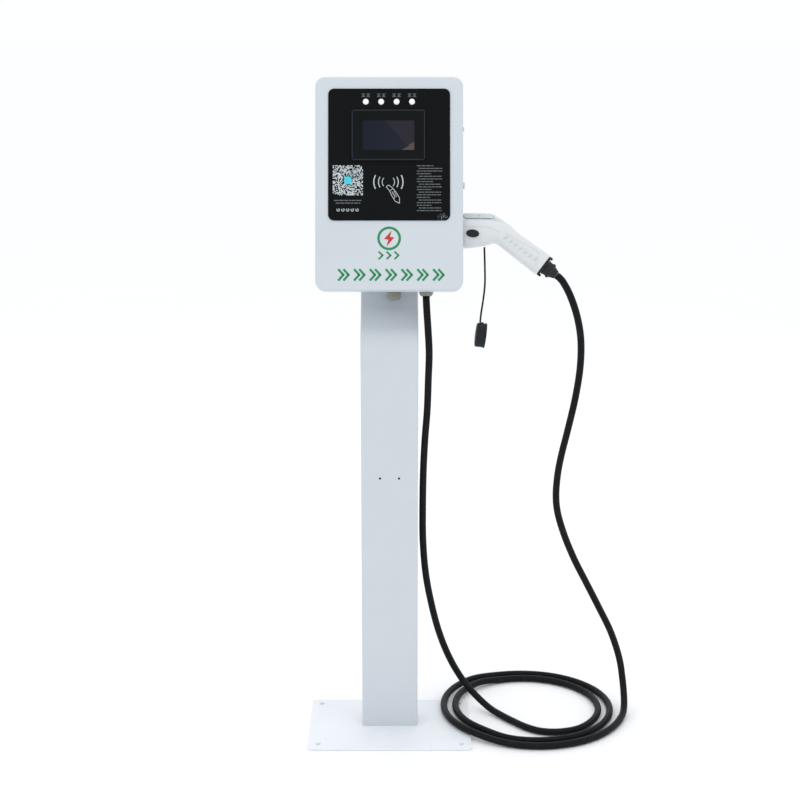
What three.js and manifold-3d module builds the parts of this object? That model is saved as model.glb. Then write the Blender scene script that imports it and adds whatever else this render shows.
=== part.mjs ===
// Electric vehicle charging post: a wall box leaning back on a folded sheet-steel column, with a
// charging gun in a holster on its right side and the gun's cable lying in loose turns on the floor.
// Lengths are in millimetres. +Z is up, the front faces -Y, and +X is to the right seen from the
// front. The origin is the middle of the base plate's underside.

import * as THREE from 'three';
import { mergeVertices } from 'three/addons/utils/BufferGeometryUtils.js';
import Module from 'manifold-3d';

const wasm = await Module();
wasm.setup();

// ---------------------------------------------------------------- driving dimensions

const GAP = 0.3; // between pieces that touch
const SHEET = 2; // steel sheet of the column and the box

const PLATE = { width: 350, depth: 250, thickness: 5, corner: 10 };
const ANCHOR = { inset: 22, radius: 6 };
const DUCT_HOLE = { y: 24, radius: 18 };

const COLUMN = { width: 120, front: -12, back: 48, bend: 870, backBend: 845, bendRadius: 22 };
const HOOK_HOLES = { spacing: 40, z: 567.5, radius: 2.5 };
const REAR_OPENING = 92; // width of the slot between the column's rear lips

const LEAN = THREE.MathUtils.degToRad(-15); // the box leans back
const HEAD_ORIGIN = new THREE.Vector3(0, -55, 977); // the foot of the box's front face

const BOX = { width: 300, height: 434, depth: 130, corner: 20, edge: 4 };
const COVER = { flange: 40, sheet: 1.5 };
const BODY = { side: 142, low: 16, high: 422, front: 8, lip: 14, corner: 10 };
const SUPPORT = { front: BOX.depth + GAP, back: 170.3, top: 398, foot: -45 };
const BOLT = { x: 40, z: [120, 360], shank: 4, hole: 4.5 };

const FASCIA = { x: 123.5, low: 141, high: 409, corner: 12, proud: 2.2 };
const LAMP = { z: 382, pitch: 31.2, radius: 6, count: 4 };
const BEZEL = { x: -1.5, z: 314, width: 149, height: 103, proud: 7 };
const SCREEN = { width: 106, height: 61 };
const WINDOW = { width: 132, height: 88 }; // cut in the cover and the fascia behind the bezel
const LAMP_HOLE = 5.2;

const HINGE = { x: -146, y: 46, z: [70, 364], radius: 3.7, pin: 2, length: 36 };
const LOCKS = [
  { name: 'upper', z: 331, radius: 4.5, proud: 3 },
  { name: 'lower', z: 216, radius: 7, proud: 4 },
];
const LOCK_Y = 25;
const SPINDLE = 3; // radius of a lock's shaft through the cover's flange
const CAM = { from: 145.2, to: 147.2, reach: 28, throat: 24.5, hub: 7 };
const PEG = { radius: 2.5, reach: 20.6, angle: -23 }; // keeper peg, seen from the lock's axis

const GUN = { y: 75, z: 124, start: 150 };
const HOLSTER = { inner: 28.5, outer: 31, flange: 38, depth: 70 }; // depth: x of its closed end
const NOSE = { outer: 26, inner: 24, carrier: 18.5, tip: 88, gap: 40, socket: 1.9 };

const CABLE = { radius: 7.5, outlet: { x: 76, y: 70, z: -6.5 } };
const SUPPLY = { x: 10, y: 92, z: -13 };

const COIL = { x: 312, y: 80, radius: 153, growth: 26, rest: 7.8, lifted: 13.2 };
const COIL_FROM = -50; // degrees from +X where the floor turns start
const COIL_TO = 690;
const COIL_STEP = 20;
const COIL_EDGE = { over: 205, clear: 265 }; // x where the turns lie over the plate and clear of it

const STRAP_RADIUS = 2;
const CAP = { x: 190.8, y: 42.6, z: 864.6, radius: 26, depth: 21, wall: 3, tilt: 7 };

// ---------------------------------------------------------------- materials

function paint(color, roughness, metalness) {
  return new THREE.MeshStandardMaterial({ color, roughness, metalness });
}

const WHITE_PAINT = paint(0xdde4ea, 0.45, 0.0);
const PLATE_PAINT = paint(0xe9edf2, 0.5, 0.0);
const WHITE_PLASTIC = paint(0xe8eaec, 0.4, 0.0);
const BLACK_GLOSS = paint(0x14171a, 0.2, 0.0);
const BLACK_PLASTIC = paint(0x1c2023, 0.55, 0.0);
const RUBBER = paint(0x1a1c1e, 0.75, 0.0);
const GLASS = paint(0x1b2430, 0.1, 0.0);
const LENS = paint(0xf2f6f8, 0.25, 0.0);
const GREY_NYLON = paint(0xb4b6b4, 0.5, 0.0);
const ZINC = paint(0xb9bcc0, 0.35, 0.9);
const BOARD = paint(0x1d6b45, 0.5, 0.0);
const GREY_PLASTIC = paint(0xc9ccce, 0.5, 0.0);

// ---------------------------------------------------------------- shape helpers

const X = new THREE.Vector3(1, 0, 0);
const Y = new THREE.Vector3(0, 1, 0);
const Z = new THREE.Vector3(0, 0, 1);

// Where a flat outline's two directions and its depth go, for each axis it can be extruded along.
const ALONG = {
  x: new THREE.Matrix4().makeBasis(Y, Z, X), // outline in y, z
  y: new THREE.Matrix4().makeBasis(X, Z, Y.clone().negate()), // outline in x, z
  z: new THREE.Matrix4(), // outline in x, y
};

function extrude(shape, axis, from, to, curveSegments = 5) {
  const options = { depth: to - from, bevelEnabled: false, curveSegments };
  const geometry = new THREE.ExtrudeGeometry(shape, options).applyMatrix4(ALONG[axis]);
  if (axis === 'x') return geometry.translate(from, 0, 0);
  if (axis === 'y') return geometry.translate(0, to, 0);
  return geometry.translate(0, 0, from);
}

// A closed outline through corners [a, b, radius]; a corner with a radius is rounded.
function outline(corners) {
  const shape = new THREE.Shape();
  corners.forEach(([a, b, radius = 0], i) => {
    const corner = new THREE.Vector2(a, b);
    const before = new THREE.Vector2(...corners.at(i - 1).slice(0, 2)).sub(corner).normalize();
    const after = new THREE.Vector2(...corners[(i + 1) % corners.length].slice(0, 2));
    after.sub(corner).normalize();
    const run = radius / Math.tan(before.angleTo(after) / 2);
    const start = corner.clone().addScaledVector(before, run);
    const end = corner.clone().addScaledVector(after, run);
    if (i === 0) shape.moveTo(start.x, start.y);
    else shape.lineTo(start.x, start.y);
    if (radius > 0) shape.quadraticCurveTo(a, b, end.x, end.y);
  });
  return shape;
}

function rounded(a0, a1, b0, b1, r = 0) {
  return outline([[a0, b0, r], [a1, b0, r], [a1, b1, r], [a0, b1, r]]);
}

function disc(a, b, radius, sides = 16) {
  const shape = new THREE.Shape();
  for (let i = 0; i < sides; i += 1) {
    const angle = ((i + 0.5) / sides) * 2 * Math.PI;
    const point = [a + radius * Math.cos(angle), b + radius * Math.sin(angle)];
    if (i === 0) shape.moveTo(...point);
    else shape.lineTo(...point);
  }
  return shape;
}

function withHoles(shape, holes) {
  shape.holes.push(...holes);
  return shape;
}

function block(x0, x1, y0, y1, z0, z1) {
  const geometry = new THREE.BoxGeometry(x1 - x0, y1 - y0, z1 - z0);
  return geometry.translate((x0 + x1) / 2, (y0 + y1) / 2, (z0 + z1) / 2);
}

// A turned piece: profile points are [radius, distance along the axis], in rising order.
function turned(profile, axis, [x, y, z], sides = 20) {
  const points = profile.map(([radius, along]) => new THREE.Vector2(radius, along));
  const geometry = new THREE.LatheGeometry(points, sides);
  if (axis === 'x') geometry.rotateZ(-Math.PI / 2);
  if (axis === 'z') geometry.rotateX(Math.PI / 2);
  return geometry.translate(x, y, z);
}

function toSolid(geometry) {
  const bare = geometry.clone();
  bare.deleteAttribute('normal');
  bare.deleteAttribute('uv');
  const merged = mergeVertices(bare, 1e-3);
  const vertProperties = new Float32Array(merged.attributes.position.array);
  const triVerts = new Uint32Array(merged.index.array);
  return new wasm.Manifold(new wasm.Mesh({ numProp: 3, vertProperties, triVerts }));
}

function toGeometry(solid) {
  const mesh = solid.getMesh();
  const positions = new THREE.BufferAttribute(new Float32Array(mesh.vertProperties), 3);
  const geometry = new THREE.BufferGeometry().setAttribute('position', positions);
  return geometry.setIndex(new THREE.BufferAttribute(new Uint32Array(mesh.triVerts), 1));
}

function cut(geometry, ...tools) {
  const left = tools.reduce((solid, tool) => solid.subtract(toSolid(tool)), toSolid(geometry));
  return toGeometry(left);
}

function join(geometry, ...others) {
  const whole = others.reduce((solid, other) => solid.add(toSolid(other)), toSolid(geometry));
  return toGeometry(whole);
}

function keep(geometry, tool) {
  return toGeometry(toSolid(geometry).intersect(toSolid(tool)));
}

// A closed skin over rings of points, each ring with the same count, capped at both ends.
function loft(rings) {
  const sides = rings[0].length;
  const positions = rings.flat().flatMap((point) => point.toArray());
  const index = [];
  for (let r = 0; r < rings.length - 1; r += 1) {
    for (let s = 0; s < sides; s += 1) {
      const a = r * sides + s;
      const b = r * sides + ((s + 1) % sides);
      index.push(a, b, a + sides, b, b + sides, a + sides);
    }
  }
  const last = (rings.length - 1) * sides;
  for (let s = 1; s < sides - 1; s += 1) {
    index.push(0, s + 1, s, last, last + s, last + s + 1);
  }
  const geometry = new THREE.BufferGeometry();
  geometry.setAttribute('position', new THREE.Float32BufferAttribute(positions, 3));
  return geometry.setIndex(index);
}

// Part of a longer curve, from one of its points to another, counted from 0.
class Stretch extends THREE.Curve {
  constructor(whole, from, to) {
    super();
    this.whole = whole;
    this.from = from / (whole.points.length - 1);
    this.to = to / (whole.points.length - 1);
  }

  getPoint(t, target = new THREE.Vector3()) {
    return this.whole.getPoint(THREE.MathUtils.lerp(this.from, this.to, t), target);
  }
}

function throughPoints(points) {
  const places = points.map((point) => new THREE.Vector3(...point));
  return new THREE.CatmullRomCurve3(places, false, 'centripetal');
}

function cord(path, radius, steps) {
  const options = { extrudePath: path, steps, bevelEnabled: false };
  return new THREE.ExtrudeGeometry(disc(0, 0, radius, 8), options);
}

function add(parent, name, geometry, material) {
  const mesh = new THREE.Mesh(geometry, material);
  mesh.name = name;
  parent.add(mesh);
}

// ---------------------------------------------------------------- groups

const post = new THREE.Group(); // stands upright in the object's own frame
const head = new THREE.Group(); // the box's frame: x across, z up the front face, y into the box
head.position.copy(HEAD_ORIGIN);
head.rotation.x = LEAN;
post.add(head);

// A place in the box's frame, as [y, z] in the object's frame.
function leaning(y, z) {
  const place = new THREE.Vector3(0, y, z).applyAxisAngle(X, LEAN).add(HEAD_ORIGIN);
  return [place.y, place.z];
}

// ---------------------------------------------------------------- base plate

function basePlate() {
  const { width, depth, thickness, corner } = PLATE;
  const shape = rounded(-width / 2, width / 2, -depth / 2, depth / 2, corner);
  const x = width / 2 - ANCHOR.inset;
  const y = depth / 2 - ANCHOR.inset;
  const anchors = [[-x, -y], [x, -y], [x, y], [-x, y]].map(([a, b]) => disc(a, b, ANCHOR.radius));
  const duct = disc(0, DUCT_HOLE.y, DUCT_HOLE.radius, 20);
  return extrude(withHoles(shape, [...anchors, duct]), 'z', 0, thickness);
}

add(post, 'base_plate', basePlate(), PLATE_PAINT);

// ---------------------------------------------------------------- column

// How far a bend of the column moves along it when its faces move in by 1.
const BEND_SHIFT = 0.7;

// The column's side outline, drawn in by a distance on every side that isn't an end.
function columnOutline(inset, foot, top) {
  const { front, back, bend, backBend, bendRadius } = COLUMN;
  const lift = inset * BEND_SHIFT;
  return outline([
    [back - inset, foot],
    [back - inset, backBend + lift, bendRadius],
    [...leaning(SUPPORT.back - inset, SUPPORT.foot + lift), bendRadius],
    leaning(SUPPORT.back - inset, top),
    leaning(SUPPORT.front + inset, top),
    [...leaning(SUPPORT.front + inset, -3 - lift), bendRadius],
    [front + inset, bend - lift, bendRadius],
    [front + inset, foot],
  ]);
}

function columnShell() {
  const half = COLUMN.width / 2;
  const foot = PLATE.thickness + GAP;
  const solid = extrude(columnOutline(0, foot, SUPPORT.top), 'x', -half, half, 4);
  const inner = columnOutline(SHEET, foot - 10, SUPPORT.top + 10);
  const hollow = extrude(inner, 'x', SHEET - half, half - SHEET, 4);
  const slot = extrude(rearBand(-SHEET - 5, 10, -10), 'x', -REAR_OPENING / 2, REAR_OPENING / 2, 4);
  const hooks = [-1, 1].map((side) => {
    const hole = disc((side * HOOK_HOLES.spacing) / 2, HOOK_HOLES.z, HOOK_HOLES.radius, 12);
    return extrude(hole, 'y', COLUMN.front - 5, COLUMN.front + 5);
  });
  return cut(solid, hollow, slot, ...hooks, ...boltHoles());
}

// A band along the column's rear, between two distances outside its back face.
function rearBand(inner, outer, shorter) {
  const { back, backBend, bendRadius } = COLUMN;
  const foot = PLATE.thickness + GAP + shorter;
  const top = SUPPORT.top - shorter;
  const edge = (distance) => {
    const drop = distance * BEND_SHIFT;
    return [
      [back + distance, foot],
      [back + distance, backBend - drop, bendRadius],
      [...leaning(SUPPORT.back + distance, SUPPORT.foot - drop), bendRadius],
      leaning(SUPPORT.back + distance, top),
    ];
  };
  return outline([...edge(outer), ...edge(inner).reverse()]);
}

function boltHoles() {
  return boltPlaces().map(([x, z]) => {
    const hole = extrude(disc(x, z, BOLT.hole, 12), 'y', BOX.depth - 5, SUPPORT.front + 8);
    head.updateMatrix();
    return hole.applyMatrix4(head.matrix);
  });
}

function boltPlaces() {
  return BOLT.z.flatMap((z) => [-BOLT.x, BOLT.x].map((x) => [x, z]));
}

function topCap() {
  const half = COLUMN.width / 2;
  const lid = block(-half, half, SUPPORT.front, SUPPORT.back, SUPPORT.top + GAP, SUPPORT.top + 3);
  const inside = SHEET + GAP;
  const plug = block(
    inside - half,
    half - inside,
    SUPPORT.front + inside,
    SUPPORT.back - inside,
    SUPPORT.top - 8,
    SUPPORT.top + 2,
  );
  return join(lid, plug);
}

add(post, 'column_shell', columnShell(), WHITE_PAINT);
const COVER_HALF = COLUMN.width / 2 - 1;
const rearCover = extrude(rearBand(GAP, SHEET, 4), 'x', -COVER_HALF, COVER_HALF, 4);
add(post, 'column_rear_cover', rearCover, WHITE_PAINT);
add(head, 'column_top_cap', topCap(), BLACK_PLASTIC);

boltPlaces().forEach(([x, z], i) => {
  const wall = BOX.depth - SHEET;
  const hex = extrude(disc(x, z, 7.5, 6), 'y', wall - 5 - GAP, wall - GAP);
  const shank = extrude(disc(x, z, BOLT.shank, 12), 'y', wall - 2, wall + 16);
  add(head, `mounting_bolt_${i + 1}`, join(hex, shank), ZINC);
});

// ---------------------------------------------------------------- box: housing body

function hingeKnuckles(offset) {
  // One barrel of each hinge, with the web that joins it to its sheet.
  return HINGE.z.map((z) => {
    const low = z + offset + GAP;
    const high = z + offset + HINGE.length / 2 - GAP;
    const barrel = extrude(disc(HINGE.x, HINGE.y, HINGE.radius), 'z', low, high);
    return { barrel, low, high };
  });
}

function pinHoles(radius) {
  return HINGE.z.map((z) => {
    const hole = disc(HINGE.x, HINGE.y, radius);
    return extrude(hole, 'z', z - 5, z + HINGE.length + 5);
  });
}

function housingBody() {
  const { side, low, high, front, lip, corner } = BODY;
  const back = BOX.depth;
  const outer = extrude(rounded(-side, side, low, high, corner), 'y', front, back);
  const t = SHEET;
  const inner = rounded(t - side, side - t, low + t, high - t, corner - t);
  const hollow = extrude(inner, 'y', front + t, back - t);
  const mouth = rounded(lip - side, side - lip, low + lip, high - lip, corner - t);
  const opening = extrude(mouth, 'y', front - 5, front + 5);
  const glands = [CABLE.outlet, SUPPLY].map(({ x, y }) => {
    return extrude(disc(x, y, 12.5), 'z', low - 5, low + 5);
  });
  const holster = extrude(disc(GUN.y, GUN.z, HOLSTER.outer + 0.5, 24), 'x', side - 5, side + 5);
  const bolts = boltPlaces().map(([x, z]) => {
    return extrude(disc(x, z, BOLT.hole, 12), 'y', back - 5, back + 5);
  });
  const lugs = hingeKnuckles(0).flatMap(({ barrel, low: from, high: to }) => {
    const web = block(HINGE.x + 1, -side + 1, HINGE.y - 1.5, HINGE.y + 1.5, from, to);
    return [barrel, web];
  });
  const tray = cut(outer, hollow, opening, ...glands, holster, ...bolts);
  return cut(join(tray, ...lugs), ...pinHoles(HINGE.pin + 0.1));
}

function doorSeal() {
  const { side, low, high, lip, corner, front } = BODY;
  const shape = rounded(2 - side, side - 2, low + 2, high - 2, corner - 2);
  const inner = rounded(lip - side, side - lip, low + lip, high - lip, corner - 4);
  return extrude(withHoles(shape, [inner]), 'y', SHEET + GAP, front - GAP, 3);
}

add(head, 'housing_body', housingBody(), WHITE_PAINT);
add(head, 'door_seal', doorSeal(), RUBBER);
HINGE.z.forEach((z, i) => {
  const pin = extrude(disc(HINGE.x, HINGE.y, HINGE.pin), 'z', z - 1, z + HINGE.length + 1);
  add(head, `hinge_pin_${['lower', 'upper'][i]}`, pin, ZINC);
});

// ---------------------------------------------------------------- box: front cover

function frontCover() {
  const { width, height, corner, edge } = BOX;
  const half = width / 2;
  const e = edge;
  const face = rounded(e - half, half - e, e, height - e, corner - e);
  const depth = COVER.flange + 20; // trimmed back to the flange below
  const roundOver = { bevelSize: e, bevelThickness: e, bevelSegments: 3 };
  const shell = new THREE.ExtrudeGeometry(face, { depth, curveSegments: 6, ...roundOver });
  shell.applyMatrix4(ALONG.y).translate(0, depth + e, 0);
  const rear = block(-half - 5, half + 5, COVER.flange, 80, -5, height + 5);
  const t = COVER.sheet;
  const pocket = extrude(
    rounded(t - half, half - t, t, height - t, corner - t),
    'y',
    SHEET,
    COVER.flange + 5,
    6,
  );
  const display = extrude(screenWindow(), 'y', -5, 10);
  const lamps = lampPlaces().map((x) => extrude(disc(x, LAMP.z, LAMP_HOLE, 12), 'y', -5, 10));
  const locks = LOCKS.map(({ z }) => {
    return extrude(disc(LOCK_Y, z, SPINDLE + GAP, 12), 'x', half - 10, half + 10);
  });
  const lugs = hingeKnuckles(HINGE.length / 2).flatMap(({ barrel, low, high }) => {
    const arm = block(-half + 0.2, -half + t, COVER.flange - 2, HINGE.y, low, high);
    return [barrel, arm];
  });
  const skin = cut(shell, rear, pocket, display, ...lamps, ...locks);
  return cut(join(skin, ...lugs), ...pinHoles(HINGE.pin + 0.1));
}

function lampPlaces() {
  const middle = (LAMP.count - 1) / 2;
  return Array.from({ length: LAMP.count }, (_, i) => (i - middle) * LAMP.pitch - 0.5);
}

function screenWindow() {
  const w = WINDOW.width / 2;
  const h = WINDOW.height / 2;
  return rounded(BEZEL.x - w, BEZEL.x + w, BEZEL.z - h, BEZEL.z + h);
}

function fasciaPanel() {
  const { x, low, high, corner, proud } = FASCIA;
  const shape = rounded(-x, x, low, high, corner);
  const lamps = lampPlaces().map((place) => disc(place, LAMP.z, LAMP_HOLE, 12));
  return extrude(withHoles(shape, [screenWindow(), ...lamps]), 'y', -proud, -GAP);
}

function displayBezel() {
  const { x, z, width, height, proud } = BEZEL;
  const back = -FASCIA.proud - GAP;
  const frame = rounded(x - width / 2, x + width / 2, z - height / 2, z + height / 2, 4);
  const body = extrude(frame, 'y', -proud, back, 3);
  const w = SCREEN.width / 2;
  const h = SCREEN.height / 2;
  const slope = 8;
  const mouth = loft([
    ring(x, z, w + slope, h + slope, -proud - 1),
    ring(x, z, w + slope, h + slope, -proud),
    ring(x, z, w, h, -proud + 3),
    ring(x, z, w, h, 0),
  ]);
  return cut(body, mouth);
}

// A rectangle of four points at one depth, in the order that makes a loft towards +Y face out.
function ring(x, z, halfWidth, halfHeight, y) {
  return [[-1, -1], [-1, 1], [1, 1], [1, -1]].map(([a, b]) => {
    return new THREE.Vector3(x + a * halfWidth, y, z + b * halfHeight);
  });
}

function centred(x, z, width, height, y0, y1) {
  return block(x - width / 2, x + width / 2, y0, y1, z - height / 2, z + height / 2);
}

function displayModule() {
  const casing = centred(BEZEL.x, BEZEL.z, 128, 84, 0, 28);
  const connector = centred(BEZEL.x + 40, BEZEL.z - 20, 24, 14, 26, 34);
  return join(casing, connector);
}

function statusLamp(x) {
  const stem = LAMP_HOLE - GAP;
  const profile = [
    [0, 0],
    [stem, 0],
    [stem, 12.2],
    [LAMP.radius, 12.2],
    [LAMP.radius, 13],
    [4, 14.4],
    [0, 15],
  ];
  const lamp = turned(profile, 'z', [0, 0, 0], 14);
  lamp.rotateX(Math.PI / 2); // the lens now points to -Y
  return lamp.translate(x, 12 - FASCIA.proud, LAMP.z);
}

add(head, 'front_cover', frontCover(), WHITE_PAINT);
add(head, 'fascia_panel', fasciaPanel(), BLACK_GLOSS);
add(head, 'display_bezel', displayBezel(), BLACK_PLASTIC);
const glassWidth = SCREEN.width - 0.8;
const glassHeight = SCREEN.height - 0.8;
const glass = centred(BEZEL.x, BEZEL.z, glassWidth, glassHeight, -3.4, -GAP);
add(head, 'display_glass', glass, GLASS);
add(head, 'display_module', displayModule(), GREY_PLASTIC);
lampPlaces().forEach((x, i) => add(head, `status_lamp_${i + 1}`, statusLamp(x), LENS));
add(head, 'card_reader_board', centred(-1, 204, 86, 62, 5, 9), BOARD);

// ---------------------------------------------------------------- box: side locks

// A hooked cam in the y, z plane of its lock. It is drawn at a turn in degrees from its locked
// place, where its hook holds the keeper peg.
function lockCam(z, turn) {
  const at = (radius, degrees) => {
    const angle = THREE.MathUtils.degToRad(degrees + turn);
    return [LOCK_Y + radius * Math.cos(angle), z + radius * Math.sin(angle)];
  };
  const arc = (radius, from, to, steps) => Array.from({ length: steps + 1 }, (_, i) => {
    return at(radius, THREE.MathUtils.lerp(from, to, i / steps));
  });
  const open = PEG.angle - 12;
  const root = PEG.angle + 42;
  const back = [60, 120, 180, 270].map((degrees) => at(CAM.hub, root + degrees));
  const hook = arc(CAM.reach, open, root, 4);
  const throat = arc(CAM.throat, root - 16, open, 3);
  const plate = extrude(outline([...hook, ...back, at(9, root - 30), ...throat]), 'x', CAM.from, CAM.to);
  const hub = extrude(disc(LOCK_Y, z, 4.5, 12), 'x', CAM.from - 1, CAM.to);
  const bore = extrude(disc(LOCK_Y, z, SPINDLE + 0.2, 12), 'x', CAM.from - 5, CAM.to + 3);
  return cut(join(plate, hub), bore);
}

const LOCK_TURN = 90; // stored open: a locked cam would hold the cover shut

LOCKS.forEach(({ name, z, radius, proud }) => {
  const half = BOX.width / 2;
  const profile = [
    [0, -6],
    [SPINDLE, -6],
    [SPINDLE, GAP],
    [radius, GAP],
    [radius, proud - 1],
    [radius - 1, proud],
    [0, proud],
  ];
  const barrel = turned(profile, 'x', [half, LOCK_Y, z], 16);
  const slot = block(half + proud - 1, half + proud + 1, LOCK_Y - 0.8, LOCK_Y + 0.8, z - 3, z + 3);
  add(head, `side_lock_${name}`, cut(barrel, slot), ZINC);
  add(head, `side_lock_cam_${name}`, lockCam(z, LOCK_TURN), ZINC);
  const angle = THREE.MathUtils.degToRad(PEG.angle);
  const pegY = LOCK_Y + PEG.reach * Math.cos(angle);
  const pegZ = z + PEG.reach * Math.sin(angle);
  const place = [BODY.side + GAP, pegY, pegZ];
  const peg = [[0, 0], [5, 0], [5, 1.5], [PEG.radius, 1.5], [PEG.radius, 5.5], [0, 5.5]];
  add(head, `keeper_peg_${name}`, turned(peg, 'x', place, 12), ZINC);
});

// ---------------------------------------------------------------- box: equipment inside

const SHELF = { front: 112, back: 114 };
const RAIL = { z: 300, front: SHELF.front - 7.5 };
const TOGGLE = { y: 61, rest: 28 };

function equipmentPlate() {
  const plate = extrude(rounded(-118, 118, 44, 400, 6), 'y', SHELF.front, SHELF.back, 2);
  const feet = [[-105, 58], [105, 58], [-105, 386], [105, 386]].map(([x, z]) => {
    return extrude(disc(x, z, 6, 8), 'y', SHELF.front + 1, BOX.depth - SHEET - GAP);
  });
  return join(plate, ...feet);
}

function dinRail() {
  const front = RAIL.front;
  const back = SHELF.front - GAP;
  const half = [[-12.5, back], [-12.5, front + 1], [-17.5, front + 1], [-17.5, front]];
  const corners = [...half, ...half.map(([z, y]) => [-z, y]).reverse()];
  const inner = [[11.5, front + 1], [11.5, back - 1], [-11.5, back - 1], [-11.5, front + 1]];
  const shape = outline(corners.map(([z, y]) => [y, RAIL.z + z]));
  const hollow = outline(inner.map(([z, y]) => [y, RAIL.z + z]));
  const hat = extrude(shape, 'x', -112, 112);
  return cut(hat, extrude(hollow, 'x', -120, 120));
}

// A rail-mounted device: a deep foot with a narrower nose, as such devices have.
function railDevice(x0, x1, height, nose) {
  const z0 = RAIL.z - height / 2;
  const z1 = RAIL.z + height / 2;
  const front = RAIL.front - GAP;
  const side = outline([
    [front, z0],
    [front, z1],
    [front - 38, z1],
    [front - 38, RAIL.z + 23],
    [front - nose, RAIL.z + 23],
    [front - nose, RAIL.z - 23],
    [front - 38, RAIL.z - 23],
    [front - 38, z0],
  ].reverse());
  return extrude(side, 'x', x0, x1);
}

function breakerBody() {
  const device = railDevice(-66, -30, 82, 48);
  return cut(device, block(-58, -38, 50, TOGGLE.y + 6, RAIL.z - 12, RAIL.z + 12));
}

// The toggle is stored switched off: its lever points down and forwards.
function breakerToggle() {
  const drum = extrude(disc(0, 0, 4.5, 14), 'x', -57.5, -38.5);
  const lever = block(-55, -41, -16, -1, -1.8, 1.8);
  const toggle = join(drum, lever);
  toggle.rotateX(THREE.MathUtils.degToRad(TOGGLE.rest));
  return toggle.translate(0, TOGGLE.y, RAIL.z);
}

function controlBoard() {
  const board = centred(-40, 178, 130, 96, 104, 106);
  const chips = [
    centred(-70, 196, 34, 24, 94, 105),
    centred(-22, 196, 20, 20, 99, 105),
    centred(-48, 148, 80, 14, 92, 105),
  ];
  const posts = [[-98, 138], [18, 138], [-98, 218], [18, 218]].map(([x, z]) => {
    return extrude(disc(x, z, 4, 8), 'y', 105, SHELF.front - GAP);
  });
  return join(board, ...chips, ...posts);
}

function terminalBlock() {
  const strip = block(-60, 50, 78, SHELF.front - GAP, 56, 96);
  const slots = Array.from({ length: 6 }, (_, i) => {
    const x = -51 + i * 18;
    return block(x - 1.8, x + 1.8, 70, 84, 50, 100);
  });
  return cut(strip, ...slots);
}

function energyMeter() {
  const device = railDevice(-26, 28, 90, 52);
  return cut(device, centred(1, RAIL.z + 8, 34, 14, 40, 53));
}

add(head, 'equipment_plate', equipmentPlate(), ZINC);
add(head, 'din_rail', dinRail(), ZINC);
add(head, 'surge_arrester', railDevice(-108, -70, 86, 48), GREY_PLASTIC);
add(head, 'breaker_body', breakerBody(), GREY_PLASTIC);
add(head, 'breaker_toggle', breakerToggle(), BLACK_PLASTIC);
add(head, 'energy_meter', energyMeter(), GREY_PLASTIC);
add(head, 'contactor', railDevice(32, 77, 84, 56), GREY_PLASTIC);
add(head, 'power_supply', block(-112, -70, 72, SHELF.front - GAP, 52, 122), ZINC);
add(head, 'control_board', controlBoard(), BOARD);
add(head, 'terminal_block', terminalBlock(), GREY_PLASTIC);

// ---------------------------------------------------------------- glands

// A cable gland under the housing: hexagonal body with its thread through the wall, a dome nut
// below and a lock nut inside.
function gland(name, { x, y, z: end }, size, dome) {
  const wall = BODY.low;
  const hexLow = wall - GAP - 8;
  const flange = extrude(disc(x, y, size, 6), 'z', hexLow, wall - GAP);
  const thread = extrude(disc(x, y, 12, 16), 'z', hexLow + 1, wall + 12);
  const lockNut = withHoles(disc(x, y, 17, 6), [disc(x, y, 12.3, 16)]);
  add(head, `${name}_body`, join(flange, thread), GREY_NYLON);
  add(head, `${name}_nut`, turned(dome(hexLow - GAP - end), 'z', [x, y, end], 18), GREY_NYLON);
  const inside = wall + SHEET + GAP;
  add(head, `${name}_locknut`, extrude(lockNut, 'z', inside, inside + 5), GREY_NYLON);
}

const openDome = (height) => [[0, 0], [9.5, 0], [13, 3], [15, 8], [15, height], [0, height]];
const blindDome = (height) => [[0, 0], [9, 0.8], [13, 4], [15, 9], [15, height], [0, height]];
gland('cable_gland', CABLE.outlet, 18.5, openDome);
gland('supply_gland', SUPPLY, 17.5, blindDome);

// ---------------------------------------------------------------- holster

function holsterCup() {
  const { inner, outer, flange, depth } = HOLSTER;
  const start = BODY.side + GAP;
  const profile = [
    [0, depth],
    [outer, depth],
    [outer, start],
    [flange, start],
    [flange, start + 2.4],
    [flange - 1, start + 3.4],
    [inner, start + 3.4],
    [inner, depth + 3],
    [0, depth + 3],
  ];
  return turned(profile, 'x', [0, GUN.y, GUN.z], 28);
}

add(head, 'holster_cup', holsterCup(), BLACK_PLASTIC);

// ---------------------------------------------------------------- gun

// Sections of the gun from its head to the end of its handle: the points where each section
// meets the upper and the lower outline [x, z], and its half width.
const GUN_SECTIONS = [
  { top: [150, 153], low: [150, 94], half: 29.5 },
  { top: [158, 154], low: [158, 93], half: 30.5 },
  { top: [186, 154], low: [184, 96], half: 29.5 },
  { top: [208, 153.5], low: [203, 99.5], half: 27.5 },
  { top: [228, 150], low: [213, 103], half: 24.5 },
  { top: [244, 141.5], low: [222, 104], half: 22.5 },
  { top: [264, 127], low: [238, 90], half: 21 },
  { top: [298, 102.5], low: [270, 64.5], half: 21 },
  { top: [324, 84], low: [294.5, 45.5], half: 22.5 },
  { top: [332, 78], low: [302.7, 39], half: 22 },
];
const GUN_SIDES = 16;
const SQUARENESS = 0.8; // below 1 fills a section's corners out

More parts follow.
